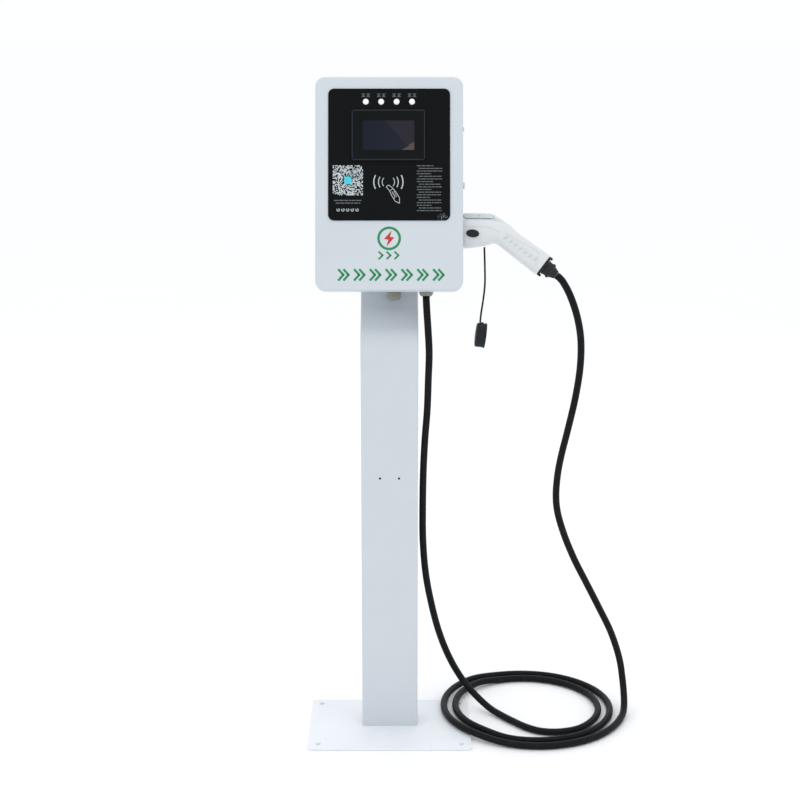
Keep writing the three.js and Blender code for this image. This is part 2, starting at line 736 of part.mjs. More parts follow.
function gunRing({ top, low, half }, thickness) {
  const up = new THREE.Vector3(top[0] - low[0], 0, top[1] - low[1]).divideScalar(2);
  const middle = new THREE.Vector3(top[0] + low[0], 0, top[1] + low[1]).divideScalar(2);
  const shrink = (length) => (length - thickness) / length;
  return Array.from({ length: GUN_SIDES }, (_, i) => {
    const angle = (i / GUN_SIDES) * 2 * Math.PI;
    const soften = (value) => Math.sign(value) * Math.abs(value) ** SQUARENESS;
    const across = soften(Math.cos(angle)) * half * shrink(half);
    const along = soften(Math.sin(angle)) * shrink(up.length());
    return middle.clone().addScaledVector(up, along).setY(GUN.y + across);
  });
}

function gunShells() {
  const outer = loft(GUN_SECTIONS.map((section) => gunRing(section, 0)));
  const inner = loft(GUN_SECTIONS.slice(1, -1).map((section) => gunRing(section, 3)));
  const skin = cut(outer, inner, latchPocket());
  // Blocks that hold everything on one side of the parting plane between the halves.
  const [near, beyond] = [-1, 1].map((side) => {
    const middle = GUN.y + side * (GAP / 2 + 50);
    return block(100, 400, middle - 50, middle + 50, 0, 200);
  });
  return { front: keep(skin, near), rear: keep(skin, beyond) };
}

const LATCH = { x: 186, z: 160.5, half: 8 };

// The pocket in the top of the gun where the latch pivot's block stands clear.
function latchPocket() {
  return block(LATCH.x - 6, LATCH.x + 6, GUN.y - LATCH.half - 1, GUN.y + LATCH.half + 1, 152, 170);
}

function latchLever() {
  const { half } = LATCH;
  const side = outline([
    [153, 157.5],
    [180, 156],
    [186, 154.5, 2],
    [192, 156],
    [206, 158],
    [216, 158.5, 1],
    [214, 164.5, 2],
    [206, 165.5],
    [156, 165, 2],
  ]);
  const blade = extrude(side, 'y', GUN.y - half, GUN.y + half, 2);
  const bore = extrude(disc(LATCH.x, LATCH.z, 1.6, 12), 'y', GUN.y - 20, GUN.y + 20);
  return cut(blade, bore);
}

function noseShroud() {
  const { outer, inner, tip } = NOSE;
  const end = GUN.start - GAP;
  const floor = tip + NOSE.gap;
  const profile = [
    [inner, floor],
    [inner, tip],
    [outer - 1, tip],
    [outer, tip + 2],
    [outer, end],
    [inner - 4, end],
    [inner - 4, floor],
    [inner, floor],
  ];
  return turned(profile, 'x', [0, GUN.y, GUN.z], 24);
}

function contactCarrier() {
  const { carrier: radius, tip, socket } = NOSE;
  const carrier = extrude(disc(GUN.y, GUN.z, radius, 20), 'x', tip + 3, GUN.start - GAP);
  const places = Array.from({ length: 6 }, (_, i) => {
    const angle = (i / 6) * 2 * Math.PI;
    return [GUN.y + 11 * Math.cos(angle), GUN.z + 11 * Math.sin(angle)];
  });
  const sockets = [[GUN.y, GUN.z], ...places].map(([y, z]) => {
    return extrude(disc(y, z, socket, 8), 'x', tip, tip + 30);
  });
  return cut(carrier, ...sockets);
}

const shells = gunShells();
add(head, 'gun_shell_front', shells.front, WHITE_PLASTIC);
add(head, 'gun_shell_rear', shells.rear, WHITE_PLASTIC);
add(head, 'gun_nose_shroud', noseShroud(), BLACK_PLASTIC);
add(head, 'gun_contact_carrier', contactCarrier(), BLACK_PLASTIC);
add(head, 'latch_lever', latchLever(), WHITE_PLASTIC);
const latchPin = extrude(disc(LATCH.x, LATCH.z, 1.5, 12), 'y', GUN.y - 10, GUN.y + 10);
add(head, 'latch_pin', latchPin, ZINC);

// The badge, an oval set just proud of the side of the head.
function gunBadge() {
  const oval = turned([[0, 0], [12.5, 0], [13.5, 1], [12.5, 2], [0, 2]], 'z', [0, 0, 0], 20);
  oval.rotateX(Math.PI / 2).scale(1, 1, 0.61);
  return oval.translate(171, GUN.y - 30.8, 123.5);
}

add(head, 'gun_badge', gunBadge(), BLACK_PLASTIC);

// Pieces along the handle's axis, which leaves the shell's end face at its middle.
const HANDLE_END = { x: 317.4, z: 58.5, dip: 37 };
const handle = new THREE.Group();
handle.position.set(HANDLE_END.x, GUN.y, HANDLE_END.z);
handle.rotation.y = THREE.MathUtils.degToRad(HANDLE_END.dip);
head.add(handle);

const flangeProfile = [[0, 0.4], [22, 0.4], [22.5, 1.5], [22, 6], [0, 6]];
add(handle, 'gun_end_flange', turned(flangeProfile, 'x', [0, 0, 0], 22), BLACK_PLASTIC);
const bootProfile = [
  [0, 6.4],
  [15.5, 6.4],
  [16, 8],
  [15, 17],
  [16.5, 18],
  [16, 22],
  [11, 24],
  [10, 34],
  [0, 34],
];
add(handle, 'cable_boot', turned(bootProfile, 'x', [0, 0, 0], 18), RUBBER);

// ---------------------------------------------------------------- charging cable

// Places along the drop from the gland to the floor, where it lands inside the turns.
const GLAND_DROP = [
  [77, 5, 930],
  [80, 0, 885],
  [82.5, -2, 835],
  [81, -2, 780],
  [79, 0, 715],
  [74.5, 4, 650],
  [71.5, 10, 580],
  [70.5, 22, 495],
  [71.5, 35, 415],
  [78, 46, 335],
  [91, 60, 260],
  [108, 74, 190],
  [129, 87, 130],
  [152, 95, 83],
  [177, 94, 47],
  [202, 81, 24],
  [225, 58, 12],
  [249, 30, 8.5],
  [272, 2, COIL.rest],
  [296, -25, COIL.rest],
  [325, -45, COIL.rest],
  [363, -50, COIL.rest],
];

// Places from the floor up to the gun. The stretch that goes with the gun starts at its rise
// point, where the cable leans so that the gun's draw opens the joint.
const RISE = 12;
const GUN_DROP = [
  [514, 33, 10],
  [521, 60, 18],
  [523.5, 86, 36],
  [521.5, 106, 68],
  [515, 112, 108],
  [493, 105, 175],
  [462, 96, 240],
  [432, 88, 300],
  [404, 80, 356],
  [380, 72, 414],
  [363, 64, 470],
  [358.5, 60, 506],
  [360, 53, 555],
  [366, 46, 600],
  [378, 38.5, 660],
  [392, 31, 735],
  [399.5, 24, 805],
  [398, 19, 865],
  [388, 17, 914],
  [374, 19.5, 953],
  [364, 22.3, 972.5],
  [354.5, 25, 986.4],
];

// A place on the floor turns. The first turns lie over the base plate's corner, so the cable is
// lifted there.
function coilPlace(degrees) {
  const angle = THREE.MathUtils.degToRad(degrees);
  const radius = COIL.radius + (COIL.growth * degrees) / 360;
  const x = COIL.x + radius * Math.cos(angle);
  const y = COIL.y + radius * Math.sin(angle);
  const lift = 1 - THREE.MathUtils.smoothstep(x, COIL_EDGE.over, COIL_EDGE.clear);
  return [x, y, THREE.MathUtils.lerp(COIL.rest, COIL.lifted, lift)];
}

function coilPlaces() {
  const count = Math.round((COIL_TO - COIL_FROM) / COIL_STEP);
  return Array.from({ length: count + 1 }, (_, i) => coilPlace(COIL_FROM + i * COIL_STEP));
}

function glandMouth() {
  const { x, y, z } = CABLE.outlet;
  return [x, ...leaning(y, z - GAP)];
}

function bootMouth() {
  head.updateMatrix();
  handle.updateMatrix();
  const mouth = new THREE.Vector3(34 + 3 * GAP, 0, 0).applyMatrix4(handle.matrix);
  return mouth.applyMatrix4(head.matrix).toArray();
}

const route = [glandMouth(), ...GLAND_DROP, ...coilPlaces(), ...GUN_DROP, bootMouth()];
const cable = throughPoints(route);
const firstTurn = GLAND_DROP.length + 1; // counted along the route
const parting = firstTurn + coilPlaces().length + RISE;
const JOINT = 0.012; // in steps of the route, so that the stretches' ends stay apart

const glandStretch = new Stretch(cable, 0, firstTurn - JOINT);
const floorStretch = new Stretch(cable, firstTurn, parting - JOINT);
const gunStretch = new Stretch(cable, parting, route.length - 1);
add(post, 'cable_gland_drop', cord(glandStretch, CABLE.radius, 22), RUBBER);
add(post, 'cable_floor_turns', cord(floorStretch, CABLE.radius, 48), RUBBER);
add(post, 'cable_gun_drop', cord(gunStretch, CABLE.radius, 11), RUBBER);

// ---------------------------------------------------------------- dust cap

function dustCap() {
  const { radius, depth, wall, tilt, x, y, z } = CAP;
  const profile = [
    [0, 0],
    [radius - 1.5, 0],
    [radius, 1.5],
    [radius, depth],
    [radius - wall, depth],
    [radius - wall, wall],
    [0, wall],
  ];
  const cap = turned(profile, 'x', [-depth / 2, 0, 0], 26);
  cap.rotateY(THREE.MathUtils.degToRad(tilt));
  return cap.translate(x, y, z);
}

const STRAP = [
  [196.5, CAP.y, 1050],
  [198, CAP.y, 1010],
  [198.5, CAP.y, 972],
  [195.5, CAP.y, 940],
  [191.5, CAP.y, 912],
  [189.5, CAP.y, 891.5],
];

add(post, 'dust_cap', dustCap(), RUBBER);
add(post, 'dust_cap_strap', cord(throughPoints(STRAP), STRAP_RADIUS, 8), RUBBER);

export default post;
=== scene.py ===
# %% [markdown]
# # A charging post for electric cars
# The post is a leaning steel box on a bent steel column. A charging gun rests in a holster on its
# right side, and the gun's cable lies in loose turns on the floor. The design comes from a CAD
# model, which is loaded first as a fixed frame: every piece made here is built round it, so
# nothing has to be fitted afterwards. Lengths are in metres, and MM turns millimetres into them.

# %% Load the frame
import math
import random

import bmesh
import bpy
from mathutils import Matrix, Vector


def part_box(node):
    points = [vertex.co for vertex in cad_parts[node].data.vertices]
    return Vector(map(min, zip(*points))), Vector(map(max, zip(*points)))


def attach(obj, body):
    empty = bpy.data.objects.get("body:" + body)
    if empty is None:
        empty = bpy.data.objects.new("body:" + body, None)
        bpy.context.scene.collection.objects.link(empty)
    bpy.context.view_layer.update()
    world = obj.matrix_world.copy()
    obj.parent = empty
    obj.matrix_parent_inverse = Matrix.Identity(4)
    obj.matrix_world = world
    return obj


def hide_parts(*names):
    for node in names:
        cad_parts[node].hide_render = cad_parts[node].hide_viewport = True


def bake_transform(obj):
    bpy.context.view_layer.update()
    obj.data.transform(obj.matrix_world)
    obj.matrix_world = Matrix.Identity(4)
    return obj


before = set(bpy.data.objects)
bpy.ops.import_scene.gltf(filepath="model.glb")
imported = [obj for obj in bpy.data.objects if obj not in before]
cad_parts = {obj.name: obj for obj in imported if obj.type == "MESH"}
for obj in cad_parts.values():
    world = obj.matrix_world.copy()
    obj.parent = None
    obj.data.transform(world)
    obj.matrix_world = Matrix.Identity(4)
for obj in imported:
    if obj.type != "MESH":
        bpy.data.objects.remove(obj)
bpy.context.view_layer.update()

MM = 0.001

# %% [markdown]
# ## Camera, floor and light
# A product picture wants an even, soft light and a pale floor, so that the shape is read from
# soft shading and one contact shadow. A long lens keeps the column's edges nearly parallel.
# The camera stands in front, a little above the box, and looks down by less than 14 degrees.

# %% Camera
CAMERA_PLACE = (0.022, -3.336, 1.55)
LOOK_DOWN = math.radians(13.728)
scene = bpy.context.scene
camera = bpy.data.objects.new("camera", bpy.data.cameras.new("camera"))
camera.data.lens = 73.98
camera.data.sensor_width = 36
camera.location = CAMERA_PLACE
camera.rotation_euler = (math.radians(90) - LOOK_DOWN, 0, 0)
scene.collection.objects.link(camera)
scene.camera = camera
scene.view_settings.view_transform = "Standard"

# %% Soft lights
def softbox(name, place, aim, size, power):
    """A square area light that faces the point it is aimed at."""
    light = bpy.data.lights.new(name, "AREA")
    light.shape, light.size, light.energy = "SQUARE", size, power
    lamp = bpy.data.objects.new(name, light)
    lamp.location = place
    lamp.rotation_euler = (Vector(aim) - Vector(place)).to_track_quat("-Z", "Y").to_euler()
    scene.collection.objects.link(lamp)


softbox("light_above", (0.2, -0.4, 3.8), (0.1, 0.1, 0.6), 2.4, 12)
softbox("light_left", (-2.8, -2.6, 2.6), (0, 0, 0.9), 2.0, 6)
softbox("light_behind", (0.4, 3.2, 2.6), (0, 0, 0.9), 2.4, 6)
world = bpy.data.worlds.new("studio")
scene.world = world
world.use_nodes = True
world.node_tree.nodes["Background"].inputs["Color"].default_value = (0.975, 0.985, 1.0, 1)
world.node_tree.nodes["Background"].inputs["Strength"].default_value = 1.02

# %% [markdown]
# ## Nodes written as sums
# A material's pattern is a sum of a few numbers that change over the surface. This small class
# holds one socket. Adding, multiplying or comparing it adds the Math node that does so, which
# keeps a material as short as the sum that it stands for.

# %% A socket that can be used in sums
class Wire:
    """One output of a material's nodes. Sums of wires add their own Math nodes."""

    def __init__(self, tree, socket=None):
        self.tree = tree
        self.socket = socket

    def node(self, kind, settings=None, inputs=None, output=0):
        """Adds a node: its settings first, then the values or wires of its inputs."""
        made = self.tree.nodes.new(kind)
        for key, value in (settings or {}).items():
            if key == "stops":
                set_stops(made.color_ramp, value)
            else:
                setattr(made, key, value)
        for key, value in (inputs or {}).items():
            if isinstance(value, Wire):
                self.tree.links.new(value.socket, made.inputs[key])
            else:
                made.inputs[key].default_value = value
        return Wire(self.tree, made.outputs[output])

    def math(self, operation, a, b):
        return self.node("ShaderNodeMath", {"operation": operation}, {0: a, 1: b})

    def __add__(self, other):
        return self.math("ADD", self, other)

    def __radd__(self, other):
        return self.math("ADD", other, self)

    def __sub__(self, other):
        return self.math("SUBTRACT", self, other)

    def __mul__(self, other):
        return self.math("MULTIPLY", self, other)


def set_stops(ramp, stops):
    """Gives a colour ramp these (position, grey) stops."""
    while len(ramp.elements) < len(stops):
        ramp.elements.new(0.5)
    for element, (position, value) in zip(ramp.elements, stops):
        element.position = position
        element.color = (value, value, value, 1)


def paint_colour(red, green, blue):
    """A colour as it is seen on a screen, 0 to 255, as the linear colour that shaders use."""
    def linear(value):
        value = value / 255
        return value / 12.92 if value <= 0.04045 else ((value + 0.055) / 1.055) ** 2.4

    return (linear(red), linear(green), linear(blue), 1)


# %% Patterns that several finishes share
def start_material(name, **constants):
    """A new material with these constant Principled inputs, its shader and its first wire."""
    material = bpy.data.materials.new(name)
    material.use_nodes = True
    shader = material.node_tree.nodes["Principled BSDF"]
    for key, value in constants.items():
        shader.inputs[key.replace("_", " ")].default_value = value
    return material, shader, Wire(material.node_tree)


def feed(shader, wires):
    """Joins wires to the shader's inputs by name."""
    for key, wire in wires.items():
        wire.tree.links.new(wire.socket, shader.inputs[key])


def noise(wire, scale, detail, roughness, stretch=(1, 1, 1)):
    """Smooth noise in the object's own coordinates, stretched along some of them."""
    place = wire.node("ShaderNodeTexCoord", output="Object")
    place = wire.node("ShaderNodeMapping", None, {"Vector": place, "Scale": stretch})
    inputs = {"Vector": place, "Scale": scale, "Detail": detail, "Roughness": roughness}
    return wire.node("ShaderNodeTexNoise", None, inputs)


def ramp(wire, value, stops):
    """A number read off a smooth curve through (position, result) stops."""
    made = wire.node("ShaderNodeValToRGB", {"stops": stops}, {"Fac": value})
    made.socket.node.color_ramp.interpolation = "EASE"
    return made


def mixed(wire, factor, first, second):
    """Two colours mixed by a number from 0 to 1."""
    inputs = {0: factor, 6: first, 7: second}
    return wire.node("ShaderNodeMix", {"data_type": "RGBA"}, inputs, output=2)


def bumped(wire, height, strength, distance):
    inputs = {"Height": height, "Strength": strength, "Distance": distance}
    return wire.node("ShaderNodeBump", None, inputs)


def height_above_floor(wire):
    place = wire.node("ShaderNodeTexCoord", output="Object")
    return wire.node("ShaderNodeSeparateXYZ", None, {"Vector": place}, output="Z")


# %% [markdown]
# ## Powder coat
# Sheet steel for outdoors is sprayed with powder and baked. Its skin shows a very fine orange
# peel, and it gathers a little dust: more near the floor, where rain splashes. Noise in three
# sizes gives the peel, the faint clouds in the colour and the uneven gloss. From here on, every
# colour is given as it is seen on a screen, from 0 to 255.

# %% Powder-coat finishes
DUST = (172, 168, 160)


def powder_coat(name, clean, splash_height):
    """Paint of this clean colour, with splashes up to this height in metres."""
    material, shader, wire = start_material(name, IOR=1.48)
    clouds = noise(wire, 7.0, 5.0, 0.62)
    fine = noise(wire, 900.0, 2.0, 0.6)
    specks = noise(wire, 210.0, 2.0, 0.5)
    splash = ramp(wire, height_above_floor(wire), [(0.0, 1.0), (splash_height, 0.0)])
    speckled = ramp(wire, specks, [(0.60, 0.0), (0.74, 1.0)])
    dust = ramp(wire, clouds, [(0.42, 0.0), (0.78, 1.0)]) * 0.06
    dust = dust + splash * clouds * 0.10 + splash * speckled * 0.10 + speckled * 0.02
    peel = fine * 0.5 + noise(wire, 330.0, 2.0, 0.5)
    feed(shader, {
        "Base Color": mixed(wire, dust, paint_colour(*clean), paint_colour(*DUST)),
        "Roughness": 0.40 + clouds * 0.14 + dust * 0.2,
        "Normal": bumped(wire, peel, 0.10, 0.3 * MM),
    })
    return material


white_paint = powder_coat("white_powder_coat", (203, 210, 216), 0.14)
plate_paint = powder_coat("plate_powder_coat", (237, 241, 246), 0.012)

# %% [markdown]
# ## Moulded plastics and rubber
# Moulded plastic copies the fine grain of its mould. The same recipe, with another colour, grain
# and gloss, serves the black trim, the nylon glands, the gun's white shell and the devices in
# the box. Rubber has a duller skin, with grey bloom where hands and the floor rub it.

# %% Moulded finishes
def moulded(name, colour, tint, roughness, grain, depth, specular=0.4, coat=0.0):
    """Plastic or rubber: two close colours in clouds, and grain with its depth in millimetres."""
    fixed = {"Specular_IOR_Level": specular, "Coat_Weight": coat, "Coat_Roughness": 0.15}
    material, shader, wire = start_material(name, **fixed)
    clouds = noise(wire, 26.0, 4.0, 0.6)
    skin = noise(wire, grain, 2.0, 0.55)
    marks = noise(wire, 90.0, 5.0, 0.7, stretch=(1, 1, 0.25))
    scuffed = ramp(wire, marks, [(0.62, 0.0), (0.80, 1.0)])
    feed(shader, {
        "Base Color": mixed(wire, clouds * 0.6 + scuffed * 0.4, paint_colour(*colour),
                            paint_colour(*tint)),
        "Roughness": roughness - 0.06 + clouds * 0.10 + scuffed * 0.06,
        "Normal": bumped(wire, skin, 0.15, depth * MM),
    })
    return material


def wear_and_shade_overlay(clean, name, colour, share):
    """A copy of a finish with a second colour over it, as much as share says at each place: real scuffs
    on the front panel, painted shade on the gun's shell.
    """
    material = clean.copy()
    material.name = name
    shader = material.node_tree.nodes["Principled BSDF"]
    wire = Wire(material.node_tree, shader.inputs["Base Color"].links[0].from_socket)
    feed(shader, {"Base Color": mixed(wire, share(wire), wire, paint_colour(*colour))})
    return material


black_plastic = moulded("black_moulding", (26, 29, 31), (38, 42, 45), 0.55, 1400.0, 0.12, 0.25)
gun_white = moulded("gun_white_moulding", (219, 223, 225), (208, 210, 210), 0.38, 1800.0, 0.06,
                    coat=0.15)
strip_white = moulded("latch_white_moulding", (219, 226, 228), (208, 215, 218), 0.42, 1800.0, 0.06)
grey_nylon = moulded("gland_nylon", (138, 141, 132), (121, 124, 116), 0.5, 1500.0, 0.08)
device_grey = moulded("device_grey_moulding", (214, 217, 218), (198, 201, 203), 0.5, 1300.0, 0.08)
boot_rubber = moulded("boot_rubber", (28, 31, 34), (44, 47, 51), 0.6, 1000.0, 0.15, 0.3)
cap_rubber = moulded("cap_rubber", (26, 30, 35), (42, 47, 52), 0.66, 900.0, 0.18, 0.2)
seal_rubber = moulded("seal_foam", (34, 35, 37), (48, 49, 51), 0.9, 600.0, 0.5, 0.15)
fascia_black = moulded("fascia_film", (13, 15, 16), (18, 20, 21), 0.42, 2200.0, 0.03, 0.06)
bezel_black = moulded("bezel_moulding", (15, 18, 19), (22, 25, 27), 0.5, 1600.0, 0.08, 0.06)
# A lighter grey for the screen frame's outer rim: a painted highlight.
rim_highlight_grey = moulded("frame_rim_painted_highlight", (30, 38, 44), (40, 49, 56), 0.45, 1600.0, 0.05, 0.15)
lens_white = moulded("lamp_lens", (246, 250, 251), (238, 243, 245), 0.25, 1200.0, 0.02, coat=0.5)

INKS = {
    "white": ((192, 200, 203), (160, 168, 172)),
    "grey": ((104, 110, 113), (78, 84, 88)),
    "green": ((24, 142, 84), (18, 124, 72)),
    "cyan": ((70, 205, 225), (60, 190, 212)),
    "red": ((196, 52, 44), (176, 44, 38)),
}
ink = {name: moulded(f"{name}_ink", *colours, 0.5, 1500.0, 0.03) for name, colours in INKS.items()}

# %% [markdown]
# ## Metal, glass and circuit board
# Zinc plate is bright with a soft, streaky gloss. The screen is off and its glass is a dull blue;
# its lighter right side and the paler patches on it are painted reflections of the surroundings.
# The board has green solder mask over a web of copper tracks.

# %% Zinc, screen and board
def zinc_plate():
    material, shader, wire = start_material("zinc_plate", Metallic=1.0)
    streaks = noise(wire, 160.0, 4.0, 0.7, stretch=(0.15, 1, 1))
    clouds = noise(wire, 40.0, 4.0, 0.6)
    feed(shader, {
        "Base Color": mixed(wire, clouds, paint_colour(186, 189, 192), paint_colour(205, 207, 206)),
        "Roughness": 0.28 + streaks * 0.22,
        "Normal": bumped(wire, streaks, 0.12, 0.1 * MM),
    })
    return material


def screen_panel(centre, size):
    """The screen's glass: a dull blue that lightens to the right, with two paler slanting patches on its
    right side; the lightening and the patches are painted reflections.
    """
    material, shader, wire = start_material("screen_glass", Roughness=0.12)
    shader.inputs["Specular IOR Level"].default_value = 0.15
    place = wire.node("ShaderNodeTexCoord", output="Object")
    shift = Vector(-value for value in centre)
    place = wire.node("ShaderNodeMapping", None, {"Vector": place, "Location": shift})
    stretch = (1 / size[0], 1 / size[1], 1 / size[2])
    place = wire.node("ShaderNodeMapping", None, {"Vector": place, "Scale": stretch})
    across = wire.node("ShaderNodeSeparateXYZ", None, {"Vector": place}, output="X")
    up = wire.node("ShaderNodeSeparateXYZ", None, {"Vector": place}, output="Z")
    wobble = noise(wire, 30.0, 4.0, 0.6) * 0.22 - 0.11
    # The two paler slanting patches are painted reflections.
    upper = ramp(wire, across * 1.1 + up * 0.55 + wobble + 0.30, [(0.47, 0.0), (0.56, 1.0)])
    corner = ramp(wire, across * 1.1 - up * 0.9 + wobble, [(0.72, 0.0), (0.76, 1.0)])
    # The blue lightens to the right: a painted reflection.
    blue = mixed(wire, across + 0.5, paint_colour(15, 21, 35), paint_colour(23, 30, 43))
    colour = mixed(wire, upper, blue, paint_colour(37, 35, 42))
    colour = mixed(wire, corner, colour, paint_colour(84, 72, 69))
    feed(shader, {"Base Color": colour})
    return material


def circuit_board():
    material, shader, wire = start_material("circuit_board", Coat_Weight=0.3)
    place = wire.node("ShaderNodeTexCoord", output="Object")
    settings = {"feature": "DISTANCE_TO_EDGE"}
    cells = wire.node("ShaderNodeTexVoronoi", settings, {"Vector": place, "Scale": 230.0})
    tracks = ramp(wire, cells, [(0.02, 1.0), (0.09, 0.0)])
    feed(shader, {
        "Base Color": mixed(wire, tracks, paint_colour(22, 92, 58), paint_colour(66, 132, 84)),
        "Roughness": 0.30 + tracks * 0.15,
        "Normal": bumped(wire, tracks, 0.3, 0.1 * MM),
    })
    return material


zinc = zinc_plate()
board_green = circuit_board()

# %% [markdown]
# ## Cable jacket
# The jacket is black rubber with a dull shine. The cores inside are twisted, and a hint of their
# twist shows on the jacket. The pattern has to follow the cable, so it reads two values that
# are stored on the tube itself: the way along the cable and the angle round it.

# %% Cable jacket
TWIST_PITCH = 0.16


def cable_jacket(name, colour, tint):
    material, shader, wire = start_material(name)
    shader.inputs["Specular IOR Level"].default_value = 0.12
    along = wire.node("ShaderNodeAttribute", {"attribute_name": "along"}, output="Fac")
    around = wire.node("ShaderNodeAttribute", {"attribute_name": "around"}, output="Fac")
    turns = (along * (1 / TWIST_PITCH) + around) * (2 * math.pi * 3)
    twist = wire.node("ShaderNodeMath", {"operation": "SINE"}, {0: turns})
    clouds = noise(wire, 55.0, 5.0, 0.65)
    skin = noise(wire, 1300.0, 2.0, 0.5)
    rubbed = ramp(wire, clouds, [(0.50, 0.0), (0.76, 1.0)])
    feed(shader, {
        "Base Color": mixed(wire, rubbed * 0.7, paint_colour(*colour), paint_colour(*tint)),
        "Roughness": 0.46 + rubbed * 0.16,
        "Normal": bumped(wire, twist * 0.6 + skin * 0.4, 0.10, 0.5 * MM),
    })
    return material


jacket = cable_jacket("cable_jacket", (17, 18, 20), (38, 39, 41))
strap_jacket = cable_jacket("strap_jacket", (22, 23, 25), (38, 39, 41))

# %% [markdown]
# ## The box's own frame
# The box leans back by 15 degrees, so its pieces are made upright, in a frame whose origin is
# the foot of the box's front face, and then turned into place by one matrix. `head_box` reads
# a CAD node's size in that frame. The gun's handle dips by 37 degrees and has a frame too.

# %% Frames
LEAN = math.radians(-15)
DIP = math.radians(37)
HEAD = Matrix.Translation((0, -0.055, 0.977)) @ Matrix.Rotation(LEAN, 4, "X")
HEAD_UP = HEAD.to_3x3() @ Vector((0, 0, 1))
HANDLE_END = Vector((0.3174, 0.075, 0.0585))
HANDLE = HEAD @ Matrix.Translation(HANDLE_END) @ Matrix.Rotation(DIP, 4, "Y")


def head_box(node):
    """Lowest and highest corner of a CAD node in the leaning frame."""
    upright = HEAD.inverted()
    places = [upright @ vertex.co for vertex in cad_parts[node].data.vertices]
    low = Vector(min(place[i] for place in places) for i in range(3))
    high = Vector(max(place[i] for place in places) for i in range(3))
    return low, high


def middle(box):
    return (box[0] + box[1]) / 2


# %% [markdown]
# ## Turning mesh work into pieces
# Each piece is shaped in a bmesh, and then becomes an object at the origin with its place in its
# mesh. Its normals are recalculated, faces that meet at a small angle are shaded as one smooth
# skin, and it is told which body it rides on, which CAD nodes it stands for and which finish
# slot it uses. The other helpers take up the steps that come back in most pieces: cutting,
# joining, thickening a skin and pulling faces out.

# %% Helpers for pieces
SMOOTH_BELOW = math.radians(38)


def to_object(name, bm, place=None):
    """An object with this bmesh as its mesh, moved into place."""
    bmesh.ops.recalc_face_normals(bm, faces=bm.faces)
    mesh = bpy.data.meshes.new(name)
    bm.to_mesh(mesh)
    bm.free()
    if place is not None:
        mesh.transform(place)
    piece = bpy.data.objects.new(name, mesh)
    scene.collection.objects.link(piece)
    return piece


def flatten(piece):
    """Applies the piece's modifiers to its mesh."""
    graph = bpy.context.evaluated_depsgraph_get()
    mesh = bpy.data.meshes.new_from_object(piece.evaluated_get(graph))
    piece.modifiers.clear()
    piece.data = mesh
    return piece


def combined(piece, operation, others):
    """Adds other solids to a piece or takes them away from it, and removes those solids."""
    for other in others:
        change = piece.modifiers.new("change", "BOOLEAN")
        change.object, change.operation, change.solver = other, operation, "EXACT"
    flatten(piece)
    for other in others:
        bpy.data.objects.remove(other)
    return piece


def cut_out(piece, cutters):
    return combined(piece, "DIFFERENCE", cutters)


def join_on(piece, parts):
    return combined(piece, "UNION", parts)


def thickened(piece, thickness, side=-1):
    """Gives an open skin the thickness of its sheet, on its inside (-1) or its outside (1)."""
    wall = piece.modifiers.new("sheet", "SOLIDIFY")
    wall.thickness, wall.offset = thickness, side
    return flatten(piece)


def everything(bm):
    return [*bm.verts, *bm.edges, *bm.faces]


def pulled(bm, faces, way):
    """Extrudes faces along a vector and returns the points that moved."""
    grown = bmesh.ops.extrude_face_region(bm, geom=faces)["geom"]
    moved = [part for part in grown if isinstance(part, bmesh.types.BMVert)]
    bmesh.ops.translate(bm, vec=way, verts=moved)
    return moved


def ready(piece, material, body, replaces=()):
    """Gives a finished mesh its shading, finish, body and place in the table."""
    mesh = piece.data
    mesh.shade_smooth()
    mesh.set_sharp_from_angle(angle=SMOOTH_BELOW)
    mesh.materials.clear()
    mesh.materials.append(material)
    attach(piece, body)
    if replaces:
        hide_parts(*replaces)
    print(piece.name, len(mesh.polygons), "faces, rides on", body)
    return piece


def evened(piece):
    """Lets large faces decide the shading, so that flat sheet looks flat beside a round edge."""
    modifier = piece.modifiers.new("even shading", "WEIGHTED_NORMAL")
    modifier.keep_sharp = True
    modifier.weight = 80
    return piece


# %% [markdown]
# ## The charging cable
# A cable is a fixed length of something flexible. This one is 15 mm thick and stiff. It leaves
# its gland straight down, sags to the floor over the plate's corner, lies in two loose turns and
# climbs to the gun. Its places are listed where it hangs, and made by a loop where it turns.
# They are joined by a smooth spline, and a round section is swept along it.

# %% The cable's route
CABLE_RADIUS = 7.5 * MM
GLAND_MOUTH = HEAD @ Vector((0.076, 0.070, -0.0068))
GLAND_DROP = [
    (77, 5, 930), (80, 0, 885), (82.5, -2, 835), (81, -2, 780), (79, 0, 715), (74.5, 4, 650),
    (71.5, 10, 580), (70.5, 22, 495), (71.5, 35, 415), (78, 46, 335), (91, 60, 260),
    (108, 74, 190), (129, 87, 130), (152, 95, 83), (177, 94, 47), (202, 81, 24), (225, 58, 12),
    (249, 30, 8.5), (272, 2, 7.8), (296, -25, 7.8), (325, -45, 7.8), (363, -50, 7.8),
]
GUN_DROP = [
    (514, 33, 10), (521, 60, 18), (523.5, 86, 36), (521.5, 106, 68), (515, 112, 108),
    (493, 105, 175), (462, 96, 240), (432, 88, 300), (404, 80, 356), (380, 72, 414),
    (363, 64, 470), (358.5, 60, 506), (360, 53, 555), (366, 46, 600), (378, 38.5, 660),
    (392, 31, 735), (399.5, 24, 805), (398, 19, 865), (388, 17, 914), (374, 19.5, 953),
    (364, 22.3, 972.5), (354.5, 25, 986.4),
]
BOOT_MOUTH = HANDLE @ Vector((0.0349, 0, 0))
COIL = {"x": 312, "y": 80, "radius": 153, "growth": 26, "rest": 7.8, "lifted": 13.2}
COIL_FROM, COIL_TO, COIL_STEP = -50, 690, 20
COIL_EDGE = {"over": 205, "clear": 265}


